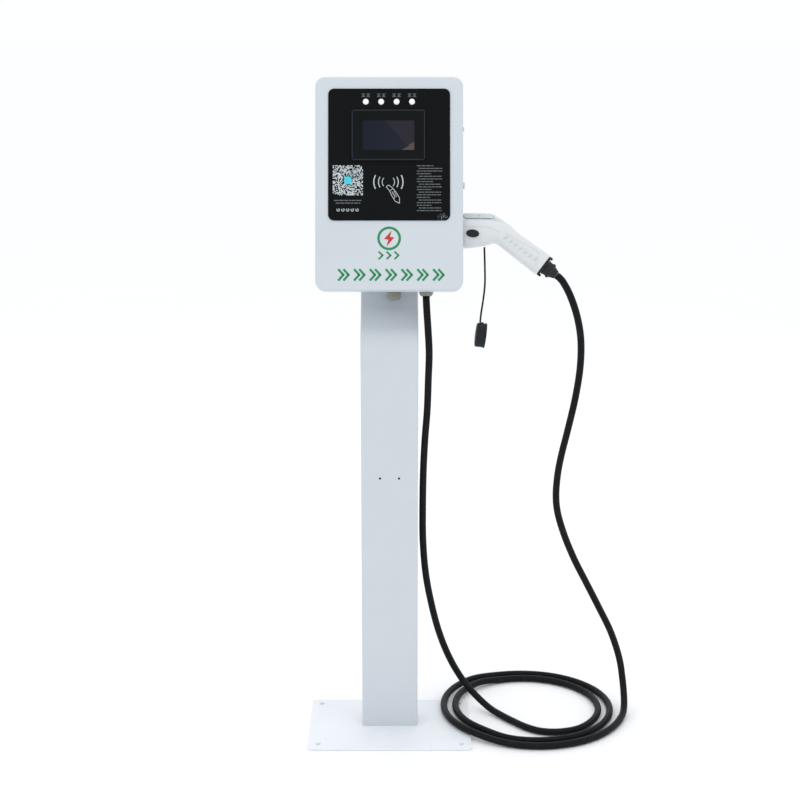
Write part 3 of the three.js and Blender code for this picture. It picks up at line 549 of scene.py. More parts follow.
def coil_place(degrees):
    """A place on the floor turns, lifted where they lie over the base plate's corner."""
    angle = math.radians(degrees)
    radius = COIL["radius"] + COIL["growth"] * degrees / 360
    x = COIL["x"] + radius * math.cos(angle)
    share = (x - COIL_EDGE["over"]) / (COIL_EDGE["clear"] - COIL_EDGE["over"])
    share = min(max(share, 0), 1)
    lift = 1 - share * share * (3 - 2 * share)
    z = COIL["rest"] + (COIL["lifted"] - COIL["rest"]) * lift
    return (x, COIL["y"] + radius * math.sin(angle), z)


coil = [coil_place(turn) for turn in range(COIL_FROM, COIL_TO + 1, COIL_STEP)]
route = [Vector(place) * MM for place in [*GLAND_DROP, *coil, *GUN_DROP]]
route = [GLAND_MOUTH, *route, BOOT_MOUTH]


# %% A smooth line through places
def spline_through(places, spacing):
    """Even points on the centripetal Catmull-Rom spline through the given places."""
    ends = [2 * places[0] - places[1], *places, 2 * places[-1] - places[-2]]
    fine = []
    for before, start, end, after in zip(ends, ends[1:], ends[2:], ends[3:]):
        gaps = [math.sqrt((b - a).length) for a, b in ((before, start), (start, end), (end, after))]
        leave = (start - before) / gaps[0] - (end - before) / (gaps[0] + gaps[1])
        leave = (leave + (end - start) / gaps[1]) * gaps[1]
        reach = (end - start) / gaps[1] - (after - start) / (gaps[1] + gaps[2])
        reach = (reach + (after - end) / gaps[2]) * gaps[1]
        for step in range(12):
            t = step / 12
            fine.append(start * (2 * t**3 - 3 * t**2 + 1) + leave * (t**3 - 2 * t**2 + t)
                        + end * (3 * t**2 - 2 * t**3) + reach * (t**3 - t**2))
    fine.append(places[-1])
    return even_points(fine, spacing)


def even_points(line, spacing):
    """The same line with its points at even distances."""
    lengths = [0.0]
    for a, b in zip(line, line[1:]):
        lengths.append(lengths[-1] + (b - a).length)
    count = round(lengths[-1] / spacing)
    points, at = [], 0
    for i in range(count + 1):
        distance = lengths[-1] * i / count
        while at < len(line) - 2 and lengths[at + 1] < distance:
            at += 1
        share = (distance - lengths[at]) / max(lengths[at + 1] - lengths[at], 1e-9)
        points.append(line[at].lerp(line[at + 1], min(share, 1)))
    return points


def length_of(line):
    return sum((b - a).length for a, b in zip(line, line[1:]))


# %% Sweeping a round section along a line
def sweep(name, line, radius, sides):
    """A closed tube along a line, which stores the way along it and the angle round it."""
    curve = bpy.data.curves.new(name, "CURVE")
    curve.dimensions = "3D"
    curve.bevel_depth = radius
    curve.bevel_resolution = sides // 4 - 1
    spline = curve.splines.new("POLY")
    spline.points.add(len(line) - 1)
    for point, place in zip(spline.points, line):
        point.co = (*place, 1)
    holder = bpy.data.objects.new(name + "_line", curve)
    scene.collection.objects.link(holder)
    graph = bpy.context.evaluated_depsgraph_get()
    bm = bmesh.new()
    bm.from_mesh(bpy.data.meshes.new_from_object(holder.evaluated_get(graph)))
    bpy.data.objects.remove(holder)
    around = bm.verts.layers.float.new("around")
    along = bm.verts.layers.float.new("along")
    ring = len(bm.verts) // len(line)
    step = length_of(line) / (len(line) - 1)
    for i, vertex in enumerate(bm.verts):
        vertex[along] = (i // ring) * step
        vertex[around] = (i % ring) / ring
    ends = [edge for edge in bm.edges if edge.is_boundary]
    bmesh.ops.holes_fill(bm, edges=ends)
    return to_object(name, bm)


cable_line = spline_through(route, 8 * MM)
cable = sweep("charging_cable", cable_line, CABLE_RADIUS, 24)
CABLE_LENGTH = round(length_of(cable_line), 2)
print("cable length", CABLE_LENGTH)

# %% [markdown]
# The cable crosses the joint between the stand and the gun. It is left as one mesh on no body:
# it is smoothly shaded, given the jacket, and takes the place of the CAD cable pieces.

# %% The cable's finish
cable.data.shade_smooth()
cable.data.materials.append(jacket)
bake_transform(cable)
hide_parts("cable_gland_drop", "cable_floor_turns", "cable_gun_drop")

# %% [markdown]
# ## The dust cap's strap
# A soft rubber cord of 4 mm holds the round cap that closes the gun's nose on the road. It
# leaves the underside of the gun's head and hangs nearly straight under the cap's weight.

# %% The strap
STRAP_RADIUS = 2 * MM
STRAP = [(196.5, 1050), (198, 1010), (198.5, 972), (195.5, 940), (191.5, 912), (189.5, 891.5)]
STRAP_Y = 42.6
strap_line = spline_through([Vector((x, STRAP_Y, z)) * MM for x, z in STRAP], 4 * MM)
strap = sweep("dust_cap_strap_cord", strap_line, STRAP_RADIUS, 16)
STRAP_LENGTH = round(length_of(strap_line), 3)
ready(strap, strap_jacket, "dust_cap", ["dust_cap_strap"])
print("strap length", STRAP_LENGTH)

# %% [markdown]
# ## Turned and rounded solids
# Most pieces start from two shapes. A turned solid is a half outline spun round an axis: domes,
# caps, lenses and boots. A rounded block is a cube whose four long edges are bevelled first,
# with the large corner radius, and whose rims are bevelled next, with the small edge radius.

# %% Spinning and rounding
AXIS_TURN = {
    "z": Matrix.Identity(4),
    "x": Matrix.Rotation(math.radians(90), 4, "Y"),
    "y": Matrix.Rotation(math.radians(-90), 4, "X"),
}


def turned(profile, axis="z", steps=48):
    """A bmesh made by spinning (radius, distance along the axis) points, in millimetres."""
    bm = bmesh.new()
    verts = [bm.verts.new((radius * MM, 0, along * MM)) for radius, along in profile]
    edges = [bm.edges.new(pair) for pair in zip(verts, verts[1:])]
    bmesh.ops.spin(bm, geom=verts + edges, cent=(0, 0, 0), axis=(0, 0, 1),
                   angle=2 * math.pi, steps=steps, use_merge=True)
    bmesh.ops.remove_doubles(bm, verts=bm.verts, dist=1e-6)
    bmesh.ops.transform(bm, matrix=AXIS_TURN[axis], verts=bm.verts)
    return bm


def bevel(bm, edges, offset, segments):
    bmesh.ops.bevel(bm, geom=list(edges), offset=offset, segments=segments, profile=0.5,
                    affect="EDGES", clamp_overlap=True, material=-1)


def block(low, high):
    """A bmesh of a plain block between two corners."""
    bm = bmesh.new()
    bmesh.ops.create_cube(bm, size=1)
    bmesh.ops.scale(bm, vec=Vector(high) - Vector(low), verts=bm.verts)
    bmesh.ops.translate(bm, vec=(Vector(low) + Vector(high)) / 2, verts=bm.verts)
    return bm


def rounded_block(low, high, axis, corner, edge, corner_segments=10, edge_segments=4, rims="both"):
    """A block between two corners, rounded along one axis and at its low or both rims."""
    bm = block(low, high)
    along = "xyz".index(axis)
    least = (high[along] - low[along]) / 2
    runs = [e for e in bm.edges if abs((e.verts[0].co - e.verts[1].co)[along]) > least]
    bevel(bm, runs, corner, corner_segments)
    if edge > 0:
        ends = [low[along]] if rims == "low" else [low[along], high[along]]
        rim = [e for e in bm.edges
               if any(all(abs(v.co[along] - end) < 1e-7 for v in e.verts) for end in ends)]
        bevel(bm, rim, edge, edge_segments)
    return bm


def disc_cutter(name, centre, radius, axis, reach, place=None, sides=40):
    """A plain round bar, used only to cut a hole."""
    bm = bmesh.new()
    bmesh.ops.create_cone(bm, cap_ends=True, segments=sides, radius1=radius, radius2=radius,
                          depth=2 * reach)
    bmesh.ops.transform(bm, matrix=AXIS_TURN[axis], verts=bm.verts)
    bmesh.ops.translate(bm, vec=centre, verts=bm.verts)
    return to_object(name, bm, place)


# %% [markdown]
# ## Base plate
# A flat steel plate with rounded corners carries the column. It is bolted down through one hole
# near each corner, and the supply cable comes up through a larger hole inside the column. The
# plate is a rounded block, and the holes are cut with round bars.

# %% Base plate
ANCHOR_INSET = 22 * MM
ANCHOR_RADIUS = 6 * MM
DUCT = {"y": 24 * MM, "radius": 18 * MM}
plate_low, plate_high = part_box("base_plate")
plate = to_object("base_plate_steel", rounded_block(plate_low, plate_high, "z", 10 * MM, 0.8 * MM))
holes = [disc_cutter("duct", (0, DUCT["y"], 0), DUCT["radius"], "z", 20 * MM)]
for x in (plate_low.x + ANCHOR_INSET, plate_high.x - ANCHOR_INSET):
    for y in (plate_low.y + ANCHOR_INSET, plate_high.y - ANCHOR_INSET):
        holes.append(disc_cutter("anchor", (x, y, 0), ANCHOR_RADIUS, "z", 20 * MM))
cut_out(plate, holes)
evened(ready(plate, plate_paint, "stand", ["base_plate"]))

# %% [markdown]
# ## Column
# The column is one folded sheet. Its side outline is drawn with a few points, the three bends
# are rounded, and the outline is pulled across the column's width. The front edges get the
# small radius that a press brake leaves. The back is opened between two lips, the open skin is
# given the sheet's thickness, and two screw holes for a cable hook are drilled in the front.

# %% Column
COLUMN_FRONT, COLUMN_BACK = -12 * MM, 48 * MM
BEND_RADIUS = 26 * MM
FOLD_RADIUS = 3 * MM
SHEET = 2 * MM
SLOT_HALF = 46 * MM
HOOK_HOLE = {"x": 20 * MM, "z": 567.5 * MM, "radius": 2.5 * MM}
shell_low, shell_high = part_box("column_shell")
SUPPORT_FRONT, SUPPORT_BACK = 130.3 * MM, 170.3 * MM
SUPPORT_TOP = 398 * MM
OPEN_TOP = 22 * MM


def leaning(y, z):
    """A place in the box's frame, as a place in the column's side outline."""
    return HEAD @ Vector((0, y, z))


def column_skin():
    """The column's side outline with its bends, pulled across its whole width."""
    corners = [
        Vector((0, COLUMN_BACK, shell_low.z)),
        Vector((0, COLUMN_BACK, 845 * MM)),
        leaning(SUPPORT_BACK, -45 * MM),
        leaning(SUPPORT_BACK, SUPPORT_TOP),
        leaning(SUPPORT_FRONT, SUPPORT_TOP),
        leaning(SUPPORT_FRONT, -3 * MM),
        Vector((0, COLUMN_FRONT, 870 * MM)),
        Vector((0, COLUMN_FRONT, shell_low.z)),
    ]
    bm = bmesh.new()
    verts = [bm.verts.new(corner) for corner in corners]
    bends = [verts[i] for i in (1, 2, 5, 6)]
    bm.faces.new(verts)
    bmesh.ops.bevel(bm, geom=bends, offset=BEND_RADIUS, segments=8, profile=0.5,
                    affect="VERTICES", clamp_overlap=True, material=-1)
    bmesh.ops.translate(bm, vec=(shell_low.x, 0, 0), verts=bm.verts)
    pulled(bm, list(bm.faces), (shell_high.x - shell_low.x, 0, 0))
    bmesh.ops.recalc_face_normals(bm, faces=bm.faces)
    return bm


def open_column(bm):
    """Rounds the long folds, opens both ends and the back between the lips."""
    ends = [face for face in bm.faces if face.normal.z < -0.9]
    ends += [face for face in bm.faces if face.calc_center_median().z > shell_high.z - OPEN_TOP
             and abs(face.normal.dot(HEAD_UP)) > 0.9]
    bmesh.ops.delete(bm, geom=ends, context="FACES")
    folds = [edge for edge in bm.edges if len(edge.link_faces) == 2
             and sum(abs(face.normal.x) > 0.9 for face in edge.link_faces) == 1]
    bevel(bm, folds, FOLD_RADIUS, 4)
    for x in (-SLOT_HALF, SLOT_HALF):
        bmesh.ops.bisect_plane(bm, geom=everything(bm), plane_co=(x, 0, 0), plane_no=(1, 0, 0))
    backward = [face for face in bm.faces if face.normal.y > 0.4
                and abs(face.calc_center_median().x) < SLOT_HALF]
    bmesh.ops.delete(bm, geom=backward, context="FACES")


bm = column_skin()
open_column(bm)
column = thickened(to_object("column_sheet", bm), SHEET)
cut_out(column, [disc_cutter("hook", (side * HOOK_HOLE["x"], COLUMN_FRONT, HOOK_HOLE["z"]),
                             HOOK_HOLE["radius"], "y", 10 * MM) for side in (-1, 1)])
evened(ready(column, white_paint, "stand", ["column_shell"]))

# %% [markdown]
# ## Rear cover and top cap
# The slot in the column's back is closed by a long cover that follows the same bends. It is the
# back of the column's own skin, moved outwards by a small gap and thickened. Pan-head screws
# hold it: a half outline spun once, with a cross recess cut by two bars. The column's top is
# closed by a black plastic lid.

# %% Rear cover
COVER_GAP, COVER_SHEET = 0.3 * MM, 1.7 * MM
COVER_LOW, COVER_TOP = 9.3 * MM, 394 * MM
bm = column_skin()
others = [face for face in bm.faces if face.normal.y < 0.4 or abs(face.normal.x) > 0.9]
bmesh.ops.delete(bm, geom=others, context="FACES")
for place, outward in ((Vector((0, 0, COVER_LOW)), Vector((0, 0, -1))),
                       (leaning(0, COVER_TOP), HEAD_UP)):
    bmesh.ops.bisect_plane(bm, geom=everything(bm), plane_co=place, plane_no=outward,
                           clear_outer=True)
bmesh.ops.scale(bm, vec=((shell_high.x - MM) / shell_high.x, 1, 1), verts=bm.verts)
bm.normal_update()
for vertex, outward in [(vertex, vertex.normal.copy()) for vertex in bm.verts]:
    vertex.co += outward * COVER_GAP
rear_cover = to_object("rear_cover_sheet", bm)
if rear_cover.data.polygons[0].normal.y < 0:
    rear_cover.data.flip_normals()
thickened(rear_cover, COVER_SHEET, 1)
ready(rear_cover, white_paint, "stand", ["column_rear_cover"])

# %% Screws
SCREW_X = 53 * MM
SCREW_HEIGHTS = [60 * MM, 310 * MM, 560 * MM, 800 * MM]
PAN_HEAD = [(0, -1.5), (2.4, -1.5), (2.4, 0.2), (4.3, 0.2), (4.3, 1.0), (3.6, 2.0), (2.0, 2.6),
            (0, 2.7)]


def bar(name, low, high, place=None):
    """A plain bar, used to cut a slot or to join a web."""
    return to_object(name, block(low, high), place)


def cross_screw(name, place):
    """A pan-head screw whose head looks along the place's +Y."""
    screw = to_object(name, turned(PAN_HEAD, "y", 24), place)
    long, thin = 2.3 * MM, 0.5 * MM
    return cut_out(screw, [bar("slot", (-a, 1.6 * MM, -b), (a, 4 * MM, b), place)
                           for a, b in ((long, thin), (thin, long))])


cover_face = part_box("column_rear_cover")[0].y + COVER_SHEET
for row, z in enumerate(SCREW_HEIGHTS):
    for side, x in (("left", -SCREW_X), ("right", SCREW_X)):
        place = Matrix.Translation((x, cover_face, z))
        screw = cross_screw(f"rear_cover_screw_{side}_{row + 1}", place)
        ready(screw, zinc, "stand")

# %% Top cap
cap_low, cap_high = head_box("column_top_cap")
lid_low = Vector((cap_low.x, cap_low.y, SUPPORT_TOP + 0.3 * MM))
lid = to_object("column_lid", rounded_block(lid_low, cap_high, "z", 3 * MM, 0.8 * MM, 4, 3), HEAD)
evened(ready(lid, black_plastic, "stand", ["column_top_cap"]))

# %% [markdown]
# ## Housing tray
# Behind the door sits a tray of folded steel, set in from the door on every side. A rounded
# block is opened at the front, where a lip for the seal is left by insetting the face, and the
# skin is made two millimetres thick. Holes are cut for the holster and the glands, and half of
# each hinge is joined on at the left.

# %% Hinge barrels
HINGE = {"x": -146 * MM, "y": 46 * MM, "low": (70 * MM, 364 * MM), "length": 36 * MM}
BARREL_RADIUS, PIN_RADIUS = 3.7 * MM, 2.1 * MM
GAP = 0.3 * MM
FLANGE = 40 * MM
TRAY_WEB = ((HINGE["x"] + MM, HINGE["y"] - 1.5 * MM), (-141 * MM, HINGE["y"] + 1.5 * MM))
DOOR_WEB = ((-149.8 * MM, FLANGE - 2 * MM), (-148.5 * MM, HINGE["y"]))


def hinge_parts(half, web_low, web_high):
    """Barrels and webs for the lower (0) or upper (1) half of both hinges, in the box's frame."""
    parts, reach = [], HINGE["length"] / 4 - GAP
    for low in HINGE["low"]:
        z = low + HINGE["length"] * (0.25 + half / 2)
        centre = (HINGE["x"], HINGE["y"], z)
        parts.append(disc_cutter("barrel", centre, BARREL_RADIUS, "z", reach))
        parts.append(bar("web", (*web_low, z - reach), (*web_high, z + reach)))
    return parts


def pin_holes():
    middle_z = HINGE["length"] / 2
    return [disc_cutter("pin", (HINGE["x"], HINGE["y"], low + middle_z), PIN_RADIUS, "z", 30 * MM)
            for low in HINGE["low"]]


# %% Tray
TRAY_LOW = Vector((-142, 8, 16)) * MM
TRAY_HIGH = Vector((142, 130, 422)) * MM
LIP = 14 * MM
GLAND_HOLE, HOLSTER_HOLE, LOCK_HOLE = 12.5 * MM, 31.5 * MM, 3.3 * MM
OUTLETS = {"charging": Vector((76, 70, 0)) * MM, "supply": Vector((10, 92, 0)) * MM}
HOLSTER = Vector((0, 75, 124)) * MM

bm = rounded_block(TRAY_LOW, TRAY_HIGH, "y", 10 * MM, 0)
back_rim = [e for e in bm.edges if all(abs(v.co.y - TRAY_HIGH.y) < 1e-7 for v in e.verts)]
bevel(bm, back_rim, 2.5 * MM, 4)
front = [face for face in bm.faces if face.normal.y < -0.9]
bmesh.ops.inset_region(bm, faces=front, thickness=LIP)
bmesh.ops.delete(bm, geom=front, context="FACES")
tray = thickened(to_object("housing_tray", bm), SHEET)
cutters = [disc_cutter("hole", (place.x, place.y, TRAY_LOW.z), GLAND_HOLE, "z", 6 * MM)
           for place in OUTLETS.values()]
cutters.append(disc_cutter("hole", (TRAY_HIGH.x, HOLSTER.y, HOLSTER.z), HOLSTER_HOLE, "x", 6 * MM))
cut_out(tray, cutters)
join_on(tray, hinge_parts(0, *TRAY_WEB))
cut_out(tray, pin_holes())
tray.data.transform(HEAD)
evened(ready(tray, white_paint, "stand", ["housing_body"]))

# %% [markdown]
# ## Door
# The door is the face that everybody sees: a deep cover with large round corners and a soft
# front edge. It is made like the tray, from a rounded block with its back open and its skin
# thickened inwards. The window behind the screen, the lamp holes and the two lock holes are
# cut through it, and its halves of the hinges are joined on.

# %% Door
DOOR_SHEET = 1.5 * MM
WINDOW = Vector((66, 0, 44)) * MM
LAMP_HOLE = 5.2 * MM
bezel_low, bezel_high = head_box("display_bezel")
bezel_middle = middle((bezel_low, bezel_high))
lamps = [middle(head_box(f"status_lamp_{i}")) for i in range(1, 5)]
locks = {name: middle(head_box(f"side_lock_{name}")) for name in ("upper", "lower")}


def display_holes():
    """Cutters for the window behind the bezel and for the four lamps."""
    low = Vector((bezel_middle.x - WINDOW.x, -20 * MM, bezel_middle.z - WINDOW.z))
    high = Vector((bezel_middle.x + WINDOW.x, 20 * MM, bezel_middle.z + WINDOW.z))
    return [bar("window", low, high)] + [
        disc_cutter("lamp", (lamp.x, 0, lamp.z), LAMP_HOLE, "y", 20 * MM) for lamp in lamps]


door_low, door_high = head_box("front_cover")
bm = rounded_block(door_low, (door_high.x, FLANGE, door_high.z), "y", 20 * MM, 4 * MM, 14, 6, "low")
backs = [face for face in bm.faces if face.normal.y > 0.9]
bmesh.ops.delete(bm, geom=backs, context="FACES")
door = thickened(to_object("door_cover", bm), DOOR_SHEET)
lock_holes = [disc_cutter("lock", (door_high.x, lock.y, lock.z), LOCK_HOLE, "x", 8 * MM)
              for lock in locks.values()]
cut_out(door, display_holes() + lock_holes)
join_on(door, hinge_parts(1, *DOOR_WEB))
cut_out(door, pin_holes())
door.data.transform(HEAD)
evened(ready(door, white_paint, "door", ["front_cover"]))

# %% [markdown]
# ## Black front panel
# A plastic panel with round corners is glued on the door. It is two millimetres proud and has
# a fine bevel, which catches a thin line of light. It shares the window and lamp holes.

# %% Front panel
panel_low, panel_high = head_box("fascia_panel")
bm = rounded_block(panel_low, panel_high, "y", 12 * MM, 0.7 * MM, 10, 3, "low")
panel = cut_out(to_object("front_panel", bm), display_holes())
panel.data.transform(HEAD)
SCUFF = HEAD @ Vector((0.109, panel_low.y, 0.1445))


def scuff_share(wire):
    """Where the film is scraped: a speckled patch near the panel's lower right corner."""
    place = wire.node("ShaderNodeTexCoord", output="Object")
    away = wire.node("ShaderNodeVectorMath", {"operation": "DISTANCE"}, {0: place, 1: SCUFF}, 1)
    near = ramp(wire, away * 25.0, [(0.10, 1.0), (0.34, 0.0)])
    return near * ramp(wire, noise(wire, 260.0, 4.0, 0.7), [(0.50, 0.0), (0.62, 1.0)])


fascia_scuffed = wear_and_shade_overlay(fascia_black, "fascia_film_scuffed", (150, 158, 168), scuff_share)
evened(ready(panel, fascia_scuffed, "door", ["fascia_panel"]))

# %% [markdown]
# ## Screen frame
# The frame stands proud of the panel, with a raised border and faces that slope in to the glass.
# The border comes from insetting the front face and pushing it back. The sloping mouth is cut
# with a block whose front has been made larger.

# %% Screen frame
glass_low, glass_high = head_box("display_glass")
BORDER = {"width": 1.8 * MM, "sunk": 0.9 * MM}
MOUTH = {"slope": 8 * MM, "depth": 3 * MM, "back": 5 * MM, "clear": 0.05 * MM, "over": 0.01 * MM}
RIM_DEPTH = 0.8 * MM

bm = rounded_block(bezel_low, bezel_high, "y", 4 * MM, 0.7 * MM, 6, 3, "low")
front = [max((face for face in bm.faces if face.normal.y < -0.9), key=lambda face: face.calc_area())]
bmesh.ops.inset_region(bm, faces=front, thickness=BORDER["width"], depth=-BORDER["sunk"])
bezel = to_object("screen_frame", bm)

clear = Vector((MOUTH["clear"], 0, MOUTH["clear"]))
neck_low = Vector((glass_low.x, bezel_low.y + MOUTH["depth"], glass_low.z)) - clear
neck_high = Vector((glass_high.x, MOUTH["back"], glass_high.z)) + clear
size = neck_high - neck_low
bm = block(neck_low, neck_high)
bm.normal_update()
front = [face for face in bm.faces if face.normal.y < -0.9]
mouth = pulled(bm, front, (0, -MOUTH["depth"] - MOUTH["over"], 0))
bmesh.ops.delete(bm, geom=front, context="FACES_ONLY")
wider = Vector((1 + 2 * MOUTH["slope"] / size.x, 1, 1 + 2 * MOUTH["slope"] / size.z))
bmesh.ops.scale(bm, vec=wider, verts=mouth, space=Matrix.Translation(-(neck_low + neck_high) / 2))
cut_out(bezel, [to_object("mouth", bm)])
bezel.data.transform(HEAD)
ready(bezel, bezel_black, "door", ["display_bezel"])
# The frame's outer rim gets the lighter grey: a painted highlight where its edge catches light.
bezel.data.materials.append(rim_highlight_grey)
reach = (bezel_high - bezel_low) / 2
for face in bezel.data.polygons:
    away = HEAD.inverted() @ face.center - bezel_middle
    outside = max(abs(away.x) - reach.x, abs(away.z) - reach.z) > -BORDER["width"]
    if outside and away.y < -reach.y + RIM_DEPTH:
        face.material_index = 1

# %% Glass and lamps
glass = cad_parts["display_glass"]
glass_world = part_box("display_glass")
glass_size = ((glass_high - glass_low).x, 1, (glass_high - glass_low).z * math.cos(LEAN))
glass.data.materials.clear()
glass.data.materials.append(screen_panel(middle(glass_world), glass_size))

LENS = [(0, -9), (4.9, -9), (4.9, 0), (6, 0), (6, 0.8), (5.7, 1.5), (4.9, 2.1), (3.4, 2.6),
        (1.7, 2.85), (0, 2.9)]
TO_FRONT = Matrix.Rotation(math.radians(90), 4, "X")
lens_back = panel_low.y - 0.1 * MM
for i, lamp in enumerate(lamps):
    place = HEAD @ Matrix.Translation((lamp.x, lens_back, lamp.z)) @ TO_FRONT
    lens = to_object(f"lamp_lens_{i + 1}", turned(LENS, "z", 40), place)
    ready(lens, lens_white, "door", [f"status_lamp_{i + 1}"])

# %% [markdown]
# ## Printed marks
# The front carries small prints: labels over the lamps, a square code, a tap-your-card symbol
# and lines of small text. None of them says anything here: text is drawn as dashes and the code
# is a random pattern. Each ink is one thin mesh, a tenth of a millimetre proud of its face.

# %% Ink strokes
INK = 0.12 * MM
PANEL_FACE = panel_low.y
DOOR_FACE = door_low.y
ARC_STEP = 5
DISC_SIDES = 28


def ink_block(bm, face, x, z, width, height, turn=0):
    """A thin printed block with its middle at x, z on a face. Sizes are in millimetres."""
    place = Matrix.Translation((x * MM, face - INK / 2, z * MM))
    place = place @ Matrix.Rotation(math.radians(turn), 4, "Y")
    size = Matrix.Diagonal((width * MM, 1.5 * INK, height * MM, 1))
    bmesh.ops.create_cube(bm, size=1, matrix=place @ size)


def ink_line(bm, face, places, width):
    """A bent stroke through places, made of one block for each straight run."""
    for (x0, z0), (x1, z1) in zip(places, places[1:]):
        run = math.hypot(x1 - x0, z1 - z0)
        turn = -math.degrees(math.atan2(z1 - z0, x1 - x0))
        ink_block(bm, face, (x0 + x1) / 2, (z0 + z1) / 2, run + width * 0.6, width, turn)


def ink_disc(bm, face, x, z, radius):
    place = Matrix.Translation((x * MM, face - INK / 2, z * MM)) @ TO_FRONT
    bmesh.ops.create_cone(bm, cap_ends=True, segments=DISC_SIDES, radius1=radius * MM,
                          radius2=radius * MM, depth=1.5 * INK, matrix=place)


def ink_arc(bm, face, x, z, radius, width, start, stop):
    """A bent bar: a small rectangle spun part of a turn. Angles run clockwise from the top."""
    centre = Matrix.Translation((x * MM, face - INK / 2, z * MM))
    place = centre @ Matrix.Rotation(math.radians(start), 4, "Y")
    place = place @ Matrix.Translation((0, 0, radius * MM)) @ Matrix.Rotation(math.pi / 2, 4, "Y")
    size = Matrix.Diagonal((width * MM, 1.5 * INK, 1, 1))
    corners = bmesh.ops.create_grid(bm, x_segments=1, y_segments=1, size=0.5, matrix=place @ size)
    verts = corners["verts"]
    edges = list({edge for vertex in verts for edge in vertex.link_edges})
    faces = list({face for vertex in verts for face in vertex.link_faces})
    bmesh.ops.spin(bm, geom=verts + edges + faces, cent=centre.translation, axis=(0, 1, 0),
                   angle=math.radians(stop - start), steps=max(int((stop - start) / ARC_STEP), 4))


def printed(name, bm, material):
    bmesh.ops.remove_doubles(bm, verts=bm.verts, dist=1e-7)
    return ready(to_object(name, bm, HEAD), material, "door")


# %% Small print
DASH = {"least": 1.5, "shortest": 0.35, "gap": (0.9, 1.6)}


def dashes(bm, dice, x, z, width, height, longest):
    """One line of small print: dashes of random length with short gaps."""
    at = x
    while at < x + width - DASH["least"]:
        run = min(dice.uniform(longest * DASH["shortest"], longest), x + width - at)
        ink_block(bm, PANEL_FACE, at + run / 2, z, run, height)
        at += run + dice.uniform(*DASH["gap"])


dice = random.Random(21)
small = bmesh.new()
PARAGRAPH = {"left": 56, "right": 108, "top": 252, "pitch": 5.35, "lines": 18, "indent": 4}
SHORTER_BY = {"last line": (16, 30), "other line": (0, 3)}
for line in range(PARAGRAPH["lines"]):
    z = PARAGRAPH["top"] - PARAGRAPH["pitch"] * line
    left = PARAGRAPH["left"] + (PARAGRAPH["indent"] if line % 3 == 1 else 0)
    kind = "last line" if line % 3 == 0 else "other line"
    right = PARAGRAPH["right"] - dice.uniform(*SHORTER_BY[kind])
    dashes(small, dice, left, z, right - left, height=1.7, longest=11)
for z, left, right in ((181.6, -112, -54), (176.2, -108, -58)):
    dashes(small, dice, left, z, right - left, height=1.8, longest=13)

LABEL = {"z": 395.2, "apart": 5, "pitch": 2.8, "widths": (7.2, 5.0, 7.2)}
for lamp in lamps:
    for x in (lamp.x / MM - LABEL["apart"], lamp.x / MM + LABEL["apart"]):
        for row, wide in enumerate(LABEL["widths"]):
            z = LABEL["z"] + LABEL["pitch"] * (row - 1)
            ink_block(small, PANEL_FACE, x, z, wide, height=1.2)
        ink_block(small, PANEL_FACE, x, LABEL["z"], width=1.3, height=6.4)
printed("small_print", small, ink["grey"])

# %% Code and round marks
CODE = {"left": -114, "low": 192, "size": 61, "cells": 29, "centre": 4.2, "share": 0.56}
ROUND_MARKS = {"first": -103, "pitch": 9.5, "count": 5, "z": 162.5}
pale = bmesh.new()
cell = CODE["size"] / CODE["cells"]
centre = (CODE["cells"] - 1) / 2
for row in range(CODE["cells"]):
    for column_at in range(CODE["cells"]):
        far = math.hypot(row - centre, column_at - centre) > CODE["centre"]
        if far and dice.random() < CODE["share"]:
            ink_block(pale, PANEL_FACE, CODE["left"] + cell * (column_at + 0.5),
                      CODE["low"] + cell * (row + 0.5), cell * 1.02, cell * 1.02)
for i in range(ROUND_MARKS["count"]):
    x, z = ROUND_MARKS["first"] + ROUND_MARKS["pitch"] * i, ROUND_MARKS["z"]
    ink_arc(pale, PANEL_FACE, x, z, radius=2.7, width=1.3, start=20, stop=320)
    ink_block(pale, PANEL_FACE, x, z, width=1.5, height=1.5)
printed("pale_print", pale, ink["white"])

dots = bmesh.new()
ink_disc(dots, PANEL_FACE, CODE["left"] + CODE["size"] / 2, CODE["low"] + CODE["size"] / 2, 8.2)
printed("code_centre", dots, ink["cyan"])

# %% Tap symbol
TAP = {"x": -1.5, "z": 219}
tap = bmesh.new()
for radius, width, half in ((29.5, 2.4, 28), (20, 1.9, 32), (12.5, 1.5, 42)):
    for side in (90, 270):
        ink_arc(tap, PANEL_FACE, TAP["x"], TAP["z"], radius, width, side - half, side + half)
HAND = [
    ([(-6, 209.5), (-1, 213), (7, 207), (15, 197), (21, 187), (21, 175.5), (12, 180.5), (6, 190),
      (1, 201), (-6, 209.5)], 1.3),
    ([(1, 201), (8, 205.5)], 1.1),
    ([(6, 199), (12, 189), (9, 184.5)], 1.3),
    ([(10, 201), (15.5, 189)], 1.0),
]
for places, width in HAND:
    ink_line(tap, PANEL_FACE, places, width)
printed("tap_symbol", tap, ink["white"])

# %% [markdown]
# The white part of the door carries a green ring with a red bolt, a plain sign for charging,
# and two rows of green arrowheads under it.

# %% Green marks
BOLT = [(5, 121), (-10.5, 103.5), (-1.8, 102.5), (-5, 88.5), (10.5, 107), (1.8, 108)]
SMALL_ARROW = {"places": [(-4.5, 77.5), (3, 70.5), (-4.5, 63.5)], "width": 3.6}
LARGE_ARROW = {"places": [(-9.5, 41.5), (0, 31), (-9.5, 20.5)], "width": 4.6}


def arrowhead(bm, arrow, x):
    ink_line(bm, DOOR_FACE, [(x + across, z) for across, z in arrow["places"]], arrow["width"])


green = bmesh.new()
ink_arc(green, DOOR_FACE, 0, 105, radius=21.5, width=5, start=0, stop=360)
for x in (-16, 0, 16):
    arrowhead(green, SMALL_ARROW, x)
for i in range(7):
    for x in (-92.5, -82):
        arrowhead(green, LARGE_ARROW, x + 32 * i)
printed("green_marks", green, ink["green"])

